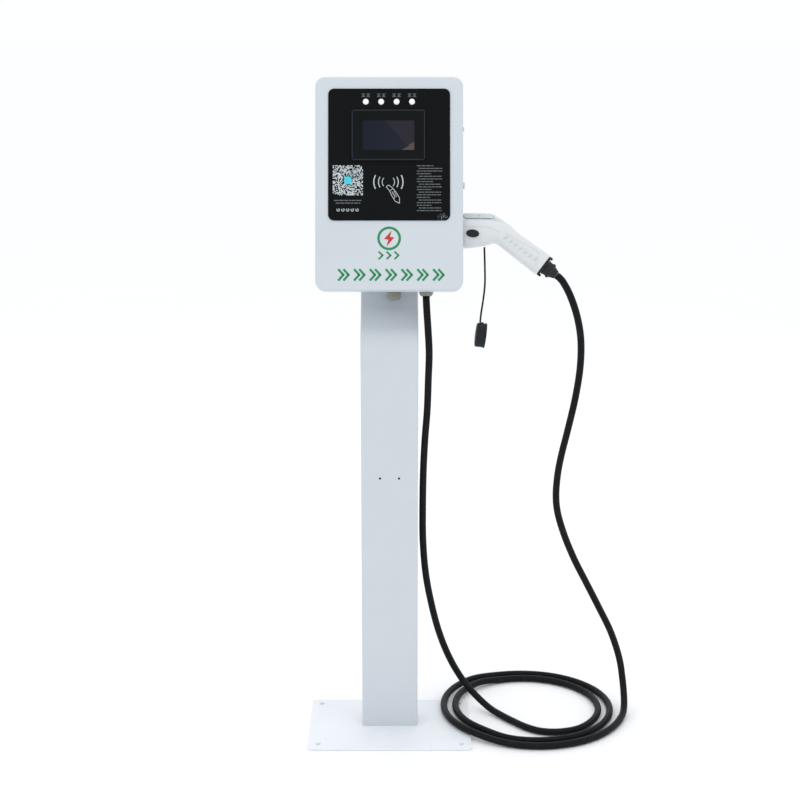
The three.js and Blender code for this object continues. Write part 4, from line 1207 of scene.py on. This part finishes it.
red = bmesh.new()
outline = [red.verts.new((x * MM, DOOR_FACE - INK, z * MM)) for x, z in BOLT]
red.faces.new(outline)
pulled(red, list(red.faces), (0, 1.5 * INK, 0))
printed("bolt_mark", red, ink["red"])

# %% [markdown]
# ## Side locks, glands and holster
# Two small locks on the door's right flange hold it shut: each is a turned head with a slot for
# a key. Under the box the cable leaves through a nylon gland, a six-sided body with a domed nut,
# and a second gland is closed by a blind dome. The gun's holster is a turned cup with a flange.

# %% Locks
LOCK_HEADS = {
    "upper": [(0, -6), (3.1, -6), (3.1, 0.15), (4.2, 0.15), (4.5, 0.5), (4.5, 2.2), (3.9, 2.9),
              (0, 3)],
    "lower": [(0, -6), (3.1, -6), (3.1, 0.15), (6.6, 0.15), (7, 0.5), (7, 2.6), (6.2, 3.6),
              (5.4, 3.9), (0, 4)],
}
for name, outline in LOCK_HEADS.items():
    place = HEAD @ Matrix.Translation((door_high.x, locks[name].y, locks[name].z))
    head = to_object(f"lock_head_{name}", turned(outline, "x", 40), place)
    reach = outline[-2][0] * 0.82 * MM
    top = outline[-1][1] * MM
    slit = bar("slit", (top - 1.3 * MM, -0.6 * MM, -reach), (top + MM, 0.6 * MM, reach), place)
    cut_out(head, [slit])
    ready(head, zinc, f"lock_{name}", [f"side_lock_{name}"])

# %% Glands
OPEN_DOME = [(0, 9), (8.0, 9), (8.0, 1.0), (8.8, 0), (9.8, 0.2), (11.6, 1.4), (13.2, 3.4), (14.2, 5.8),
             (14.7, 8.4), (14.7, 13.3), (14.2, 13.9), (0, 13.9)]
BLIND_DOME = [(0, 0), (6, 0.2), (9.2, 1.0), (11.8, 2.7), (13.6, 5.2), (14.5, 8), (14.8, 10.5),
              (14.8, 19.8), (14.3, 20.4), (0, 20.4)]
GLANDS = {"cable": (OUTLETS["charging"], 18.4, OPEN_DOME, -6.5),
          "supply": (OUTLETS["supply"], 17.4, BLIND_DOME, -13)}
GRIPS = {"count": 12, "half": 0.9, "deep": 0.5, "tall": 5}
THREAD = [(0, 15.4), (12, 15.4), (12, 27.4), (11.4, 28), (0, 28)]
for name, (outlet, corner, dome, drop) in GLANDS.items():
    nut_place = HEAD @ Matrix.Translation((outlet.x, outlet.y, drop * MM))
    nut = to_object(f"{name}_dome_nut", turned(dome), nut_place)
    widest = max(radius for radius, along in dome)
    top = dome[-1][1]
    grooves = []
    low = ((widest - GRIPS["deep"]) * MM, -GRIPS["half"] * MM, (top - GRIPS["tall"]) * MM)
    high = ((widest + 1) * MM, GRIPS["half"] * MM, (top + 1) * MM)
    for i in range(GRIPS["count"]):
        spoke = Matrix.Rotation(2 * math.pi * (i + 0.5) / GRIPS["count"], 4, "Z")
        grooves.append(bar("grip", low, high, nut_place @ spoke))
    cut_out(nut, grooves)
    ready(nut, grey_nylon, "stand", [f"{name}_gland_nut"])
    bm = bmesh.new()
    bmesh.ops.create_cone(bm, cap_ends=True, segments=6, radius1=corner * MM, radius2=corner * MM,
                          depth=8 * MM, matrix=Matrix.Translation((0, 0, 11.7 * MM)))
    bevel(bm, bm.edges, 0.8 * MM, 3)
    place = HEAD @ Matrix.Translation((outlet.x, outlet.y, 0))
    hexagon = to_object(f"{name}_gland_hexagon", bm, place)
    join_on(hexagon, [to_object("thread", turned(THREAD), place)])
    ready(hexagon, grey_nylon, "stand", [f"{name}_gland_body"])

# %% Holster cup
CUP = [(0, 70), (30, 70), (31, 71), (31, 142.3), (37.4, 142.3), (38, 142.9), (38, 145.1),
       (37.4, 145.7), (30, 145.7), (28.9, 145.1), (28.5, 144), (28.5, 73), (0, 73)]
place = HEAD @ Matrix.Translation((0, HOLSTER.y, HOLSTER.z))
cup = to_object("holster_liner", turned(CUP, "x", 64), place)
ready(cup, black_plastic, "stand", ["holster_cup"])

# %% [markdown]
# ## Small hidden pieces
# The seal, the bolts, the pins, the cams, the plates and the circuit boards keep their CAD shape.
# They are given finishes with the same fine detail as the rest, so an opened door shows real
# materials.

# %% Finishes for carried pieces
CARRIED = [
    (seal_rubber, ["door_seal"]),
    (zinc, ["mounting_bolt_1", "mounting_bolt_2", "mounting_bolt_3", "mounting_bolt_4",
            "hinge_pin_lower", "hinge_pin_upper", "side_lock_cam_upper", "side_lock_cam_lower",
            "keeper_peg_upper", "keeper_peg_lower", "equipment_plate", "din_rail",
            "latch_pin"]),
    (black_plastic, ["breaker_toggle", "gun_nose_shroud", "gun_contact_carrier"]),
    (board_green, ["card_reader_board", "control_board"]),
    (grey_nylon, ["cable_gland_locknut", "supply_gland_locknut"]),
]
for material, names in CARRIED:
    for name in names:
        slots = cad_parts[name].data.materials
        slots.clear()
        slots.append(material)
    print(material.name, "on", len(names), "carried pieces")

# %% [markdown]
# ## Devices in the box
# The devices keep the outlines of the CAD model but not its razor edges. Each mesh is copied,
# its loose triangles are joined into whole faces, and every edge is bevelled a little. The power
# supply gets vents and the reader board gets its chips.

# %% Softened copies
def softened(name, node, edge):
    """A copy of a CAD piece with whole faces and small round edges."""
    bm = bmesh.new()
    bm.from_mesh(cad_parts[node].data)
    bmesh.ops.remove_doubles(bm, verts=bm.verts, dist=1e-6)
    bmesh.ops.dissolve_limit(bm, angle_limit=math.radians(1), verts=bm.verts, edges=bm.edges)
    bevel(bm, bm.edges, edge, 3)
    return to_object(name, bm)


CASES = {"surge_arrester": device_grey, "breaker_body": device_grey, "energy_meter": device_grey,
         "contactor": black_plastic, "terminal_block": device_grey, "display_module": device_grey}
for node, material in CASES.items():
    body = "door" if node == "display_module" else "stand"
    ready(softened(f"{node}_case", node, 0.5 * MM), material, body, [node])

# %% Power supply
VENT = {"wide": 1.3 * MM, "deep": 1.6 * MM, "pitch": 3.6 * MM, "count": 9, "inset": 14 * MM}
supply = softened("power_supply_case", "power_supply", 0.8 * MM)
supply_low, supply_high = head_box("power_supply")
first = (supply_low.x + supply_high.x - VENT["pitch"] * (VENT["count"] - 1)) / 2
vents = []
for i in range(VENT["count"]):
    x = first + VENT["pitch"] * i
    low = (x - VENT["wide"] / 2, supply_low.y - MM, supply_low.z + VENT["inset"])
    high = (x + VENT["wide"] / 2, supply_low.y + VENT["deep"], supply_high.z - VENT["inset"])
    vents.append(bar("vent", low, high, HEAD))
cut_out(supply, vents)
ready(supply, zinc, "stand", ["power_supply"])

# %% Chips of the reader board
board_low, board_high = head_box("card_reader_board")
board_middle = middle((board_low, board_high))
CHIPS = {"controller": (0, 6, 7, 1.6), "oscillator": (18, 8, 3, 1.2), "plug": (-24, -18, 8, 4.5),
         "regulator": (20, -14, 4, 1.8)}
for name, (x, z, half, tall) in CHIPS.items():
    low = (board_middle.x + (x - half) * MM, board_high.y, board_middle.z + (z - half * 0.8) * MM)
    high = (board_middle.x + (x + half) * MM, board_high.y + tall * MM,
            board_middle.z + (z + half * 0.8) * MM)
    bm = rounded_block(low, high, "y", 0.6 * MM, 0.25 * MM, 3, 2)
    chip = to_object(f"reader_{name}", bm, HEAD)
    ready(chip, black_plastic, "door")

# %% [markdown]
# ## Gun shell
# The gun is a flowing moulding, and flowing shapes are best made from a coarse cage. Rings of 16
# points stand across the gun's line, from the holster to the handle's end. They are bridged and
# then subdivided until the skin is smooth. The grip's hollows are too small for the cage, so
# they are pressed into the fine skin afterwards, by moving its points inwards.

# %% Rings of the shell
GUN_Y = HOLSTER.y
SECTIONS = [
    ((150, 153), (150, 94), 29.5), ((151, 153.2), (151, 93.8), 29.7), ((158, 154), (158, 93), 30.5),
    ((186, 154), (184, 96), 29.5), ((208, 153.5), (203, 99.5), 27.5), ((228, 150), (213, 103), 24.5),
    ((244, 141.5), (222, 104), 22.5), ((264, 127), (238, 90), 21), ((298, 102.5), (270, 64.5), 21),
    ((324, 84), (294.5, 45.5), 22.5), ((331.2, 78.6), (301.9, 39.6), 22.1), ((332, 78), (302.7, 39), 22),
]
SQUARER = 0.8
CAGE_GROWTH = 1.02
END_INSET = 1.2 * MM
RING_POINTS = 16


def squared(value):
    return math.copysign(abs(value) ** SQUARER, value)


def ring_across(bm, top, low, half_width):
    """A closed ring of points between a top and a low place, a little squarer than an oval."""
    top, low = (Vector((x * MM, GUN_Y, z * MM)) for x, z in (top, low))
    centre, rise = (top + low) / 2, (top - low) / 2 * CAGE_GROWTH
    side = Vector((0, half_width * MM * CAGE_GROWTH, 0))
    points = bmesh.ops.create_circle(bm, segments=RING_POINTS, radius=1)["verts"]
    for point in points:
        point.co = centre + side * squared(point.co.x) + rise * squared(point.co.y)
    return list({edge for point in points for edge in point.link_edges})


def bridged(sections):
    """A closed cage through the rings, whose ends are inset so that they stay crisp."""
    bm = bmesh.new()
    rings = [ring_across(bm, *section) for section in sections]
    for first, second in zip(rings, rings[1:]):
        bmesh.ops.bridge_loops(bm, edges=first + second)
    bmesh.ops.holes_fill(bm, edges=rings[0] + rings[-1])
    caps = [face for face in bm.faces if len(face.verts) == RING_POINTS]
    bmesh.ops.inset_individual(bm, faces=caps, thickness=END_INSET)
    return bm


def smoothed(name, bm, levels):
    """The cage as a smooth skin."""
    piece = to_object(name, bm)
    skin = piece.modifiers.new("skin", "SUBSURF")
    skin.levels = skin.render_levels = levels
    return flatten(piece)


# %% Painted shade in the hollows
def painted_shade_share(wire):
    """Painted shade: a darker grey where the skin's stored hollow value is high."""
    hollow = wire.node("ShaderNodeAttribute", {"attribute_name": "hollow"}, output="Fac")
    return ramp(wire, hollow * 0.3, [(0.06, 0.0), (0.9, 0.85)])


# The shell's darker grey along its seam and on one side of each scoop is painted shade.
shell_white = wear_and_shade_overlay(gun_white, "gun_shell_moulding", (132, 134, 133), painted_shade_share)

# %% Hollows of the grip
FIELD = {"front": -104, "low": -15, "top": 4, "rise": 0.143, "depth": 1.5}
FIELD_ENDS = {"top from": -28, "top bend": 0.09, "low from": -84, "low bend": 0.045}
FIELD_STEPS = {"top": 1.0, "low": 1.6, "front": 4}
SCOOPS = {"first": -95, "pitch": 12.4, "count": 7, "long": 9, "wide": 4.2, "depth": 2.4, "t": -3}
SCOOP_TURN = math.radians(62)
SCOOP_POWER = 1.1
# Across each scoop: where the painted shade on its far side starts and where it is full.
SHADE_FROM, SHADE_FULL = 0.6, -0.8
SPINE_HALF = 9
CREASE = {"level": 136, "fall": 12, "from": 192, "to": 240, "depth": 1.1}
CREASE_STEPS = {"edge": 1.4, "fade": (3, 18), "end": (225, 238)}
SEAM = {"depth": 0.4, "half": 0.7}
UPRIGHT_HANDLE = Matrix.Translation(HANDLE_END) @ Matrix.Rotation(DIP, 4, "Y")


def eased(low, high, value):
    """0 below low, 1 above high and a smooth step between them."""
    share = min(max((value - low) / (high - low), 0), 1)
    return share * share * (3 - 2 * share)


def field_depth(s, t):
    """The shallow field on each side of the handle, s along it and t up it, in millimetres."""
    top = FIELD["top"] + (min(s, FIELD_ENDS["top from"]) - FIELD["front"]) * FIELD["rise"]
    top -= max(0, s - FIELD_ENDS["top from"]) ** 2 * FIELD_ENDS["top bend"]
    low = FIELD["low"] + max(0, FIELD_ENDS["low from"] - s) ** 2 * FIELD_ENDS["low bend"]
    inside = eased(0, FIELD_STEPS["top"], top - t) * eased(0, FIELD_STEPS["low"], t - low)
    return FIELD["depth"] * inside * eased(0, FIELD_STEPS["front"], s - FIELD["front"])


def scoop_at(s, t):
    """The depth of one of the slanted finger hollows, and how much painted shade darkens its far side.
    """
    nearest = round((s - SCOOPS["first"]) / SCOOPS["pitch"])
    nearest = min(max(nearest, 0), SCOOPS["count"] - 1)
    across, rise = s - SCOOPS["first"] - SCOOPS["pitch"] * nearest, t - SCOOPS["t"]
    along = across * math.cos(SCOOP_TURN) + rise * math.sin(SCOOP_TURN)
    beside = rise * math.cos(SCOOP_TURN) - across * math.sin(SCOOP_TURN)
    oval = (along / SCOOPS["long"]) ** 2 + (beside / SCOOPS["wide"]) ** 2
    depth = SCOOPS["depth"] * max(0, 1 - oval) ** SCOOP_POWER
    return depth, depth * eased(SHADE_FROM, SHADE_FULL, beside / SCOOPS["wide"])


def crease_depth(x, z):
    """A soft step along the head, which runs on into the upper edge of the grip's field."""
    level = CREASE["level"] - CREASE["fall"] * eased(CREASE["from"], CREASE["to"], x)
    below = level - z
    fade = 1 - eased(*CREASE_STEPS["fade"], below)
    end = 1 - eased(*CREASE_STEPS["end"], x)
    return CREASE["depth"] * eased(0, CREASE_STEPS["edge"], below) * fade * end


def press_in(piece):
    """Moves the skin's points inwards where the shell has a hollow, a crease or a seam, and stores the
    painted shade of the seam and of each scoop's far side.
    """
    to_handle = UPRIGHT_HANDLE.inverted()
    outward = [vertex.normal.copy() for vertex in piece.data.vertices]
    hollow = piece.data.attributes.new("hollow", "FLOAT", "POINT")
    for vertex, normal in zip(piece.data.vertices, outward):
        on_handle = to_handle @ vertex.co / MM
        side = abs(on_handle.y)
        depth = painted_shade = SEAM["depth"] * math.exp(-((side / SEAM["half"]) ** 2))
        if side > SPINE_HALF:
            scoop, painted_shade = scoop_at(on_handle.x, on_handle.z)
            depth += field_depth(on_handle.x, on_handle.z) + scoop
            depth += crease_depth(vertex.co.x / MM, vertex.co.z / MM)
        hollow.data[vertex.index].value = painted_shade
        vertex.co -= normal * depth * MM


shell = smoothed("gun_shell", bridged(SECTIONS), 4)
press_in(shell)
shell.data.transform(HEAD)
ready(shell, shell_white, "gun", ["gun_shell_front", "gun_shell_rear"])

# %% [markdown]
# ## Latch, badge and end of the handle
# The latch on the gun's top is a long lever with a thumb button at its rear. A fairing behind
# it runs down into the handle. An oval badge sits on the gun's near side, and a black ring with two
# tabs and a stepped rubber boot close the handle where the cable enters.

# %% Latch and fairing
LEVER = [(153, 156.6), (153, 164.2), (155.5, 165.5), (199.5, 165.5), (201, 164.2), (203.6, 164.2),
         (205, 165.4), (210.5, 164.8), (215.6, 162), (215.6, 155.4), (214.6, 154.6),
         (160, 154.6)]
LEVER_HALF = 8 * MM


def side_outline(places, half_width):
    """A solid whose side view is the given outline, centred on the gun's middle plane."""
    bm = bmesh.new()
    bm.faces.new([bm.verts.new((x * MM, GUN_Y - half_width, z * MM)) for x, z in places])
    pulled(bm, list(bm.faces), (0, 2 * half_width, 0))
    bmesh.ops.recalc_face_normals(bm, faces=bm.faces)
    rims = [edge for edge in bm.edges
            if sum(abs(face.normal.y) > 0.9 for face in edge.link_faces) == 1]
    bevel(bm, rims, 1.1 * MM, 4)
    return bm


lever = to_object("latch_bar", side_outline(LEVER, LEVER_HALF))
GROOVE_LOW = Vector((155, -0.45, 159.5)) * MM
GROOVE_HIGH = Vector((213, 0.45, 160.2)) * MM
LATCH_PIN = {"x": 186 * MM, "z": 160.5 * MM, "radius": 1.6 * MM}
sides = [Vector((0, GUN_Y + side, 0)) for side in (-LEVER_HALF, LEVER_HALF)]
grooves = [bar("groove", GROOVE_LOW + side, GROOVE_HIGH + side) for side in sides]
grooves.append(disc_cutter("pin", (LATCH_PIN["x"], GUN_Y, LATCH_PIN["z"]), LATCH_PIN["radius"],
                           "y", 20 * MM))
cut_out(lever, grooves)
lever.data.transform(HEAD)
ready(lever, strip_white, "latch", ["latch_lever"])

FAIRING = [
    ((216.2, 162.8), (216.2, 149), 8.4), ((217, 162.6), (217, 148.6), 8.6),
    ((228, 156.5), (224, 145), 9.2), ((240, 148.3), (235, 138), 9.2), ((252, 138.8), (247, 130), 8),
    ((260, 131.6), (256, 124), 6),
]
FOOT = [(152, 148), (152, 151.9), (181, 153.9), (191, 153.9), (214, 151.9), (217, 151), (217, 147)]
foot = to_object("latch_foot", side_outline(FOOT, LEVER_HALF - 0.6 * MM))
foot.data.transform(HEAD)
ready(foot, gun_white, "gun")
fairing = smoothed("latch_fairing", bridged(FAIRING), 3)
fairing.data.transform(HEAD)
ready(fairing, strip_white, "gun")

# %% Badge
badge_low, badge_high = head_box("gun_badge")
BADGE = {"long": 13.4 * MM, "tall": 8.1 * MM, "rim": 1.6 * MM, "step": 0.5 * MM}
BADGE_TILT = math.radians(5)
BADGE_DROP = Vector((0, 0, -3 * MM))
bm = bmesh.new()
bmesh.ops.create_cone(bm, cap_ends=True, segments=56, radius1=1, radius2=1, depth=1,
                      matrix=TO_FRONT)
thick = (badge_high - badge_low).y
bmesh.ops.scale(bm, vec=(BADGE["long"], thick, BADGE["tall"]), verts=bm.verts)
front = [edge for edge in bm.edges if all(v.co.y < 0 for v in edge.verts)]
bevel(bm, front, 1.0 * MM, 4)
face = [max((f for f in bm.faces if f.normal.y < -0.9), key=lambda f: f.calc_area())]
bmesh.ops.inset_region(bm, faces=face, thickness=BADGE["rim"])
bmesh.ops.inset_region(bm, faces=face, thickness=BADGE["step"], depth=-BADGE["step"])
place = HEAD @ Matrix.Translation(middle((badge_low, badge_high)) + BADGE_DROP)
place = place @ Matrix.Rotation(BADGE_TILT, 4, "Y")
ready(to_object("oval_badge", bm, place), black_plastic, "gun", ["gun_badge"])

# %% Ring and boot
RING = [(0, 0.4), (21.4, 0.4), (22.3, 0.9), (22.6, 2.0), (22.6, 4.0), (22, 5.2), (20.8, 6), (0, 6)]
BOOT = [(0, 6.3), (15.2, 6.3), (16, 7.2), (15.8, 9.4), (14.8, 10.2), (14.8, 16.4), (16.1, 17.1),
        (16.5, 18.3), (16.2, 21.4), (15.2, 22.6), (12.6, 23.6), (11.8, 24.8), (11.8, 26.6),
        (10.9, 27.3), (10.9, 29.0), (10.0, 29.7), (9.8, 31.6), (8.9, 33.4), (8.2, 34.5), (0, 34.8)]
TAB_LOW = Vector((0.5, -5, 0)) * MM
TAB_HIGH = Vector((9.5, 5, 4.4)) * MM
TAB_HEIGHTS = (18.4, -22.8)
end_ring = to_object("handle_end_ring", turned(RING, "x", 64), HANDLE)
tabs = []
for height in TAB_HEIGHTS:
    up = Vector((0, 0, height * MM))
    bm = rounded_block(TAB_LOW + up, TAB_HIGH + up, "y", 1.6 * MM, 0.6 * MM, 4, 2)
    tabs.append(to_object("tab", bm, HANDLE))
join_on(end_ring, tabs)
ready(end_ring, black_plastic, "gun", ["gun_end_flange"])
boot = to_object("stepped_boot", turned(BOOT, "x", 56), HANDLE)
ready(boot, boot_rubber, "gun", ["cable_boot"])

# %% [markdown]
# ## Dust cap
# The cap that hangs on the strap is a shallow rubber cup with a rolled rim. A small eye on its
# rim holds the strap's end.

# %% Dust cap
CAP_CENTRE = Vector((190.8, 42.6, 864.6)) * MM
CAP_TILT = math.radians(97)
CAP = [(0, -10.5), (20, -10.5), (23.6, -9.9), (25.2, -8.2), (25.4, -3), (25, -2.2), (25, 6.2),
       (26, 7.2), (26, 9.9), (25.3, 10.5), (23.7, 10.5), (23, 9.8), (23, -7.5), (0, -7.5)]
EYE = {"radius": 3.4 * MM, "middle": -25 * MM, "half": 2.2 * MM}
place = Matrix.Translation(CAP_CENTRE) @ Matrix.Rotation(CAP_TILT, 4, "Y")
cap = to_object("dust_cap_cup", turned(CAP, "z", 64), place)
join_on(cap, [disc_cutter("eye", (EYE["middle"], 0, 0), EYE["radius"], "x", EYE["half"], place, 24)])
ready(cap, cap_rubber, "dust_cap", ["dust_cap"])

# %% [markdown]
# ## What the cords are
# Each cord's place and thickness are given where it is made, and its length is printed there.

# %% [markdown]
# ## Floor
# The floor isn't part of the post. It is a wide, pale sheet just under the base plate, and it
# takes the soft shadows that show where the plate and the cable touch the ground.

# %% Floor
FLOOR_SIZE = 60
FLOOR_HEIGHT = -0.4 * MM


def studio_floor():
    bm = bmesh.new()
    bmesh.ops.create_grid(bm, x_segments=1, y_segments=1, size=FLOOR_SIZE)
    floor = to_object("studio_floor", bm, Matrix.Translation((0, 0, FLOOR_HEIGHT)))
    material, shader, wire = start_material("pale_floor", Roughness=0.85)
    clouds = noise(wire, 1.5, 3.0, 0.5)
    tint = mixed(wire, clouds, paint_colour(254, 254, 255), paint_colour(252, 253, 254))
    feed(shader, {"Base Color": tint})
    floor.data.materials.append(material)


studio_floor()
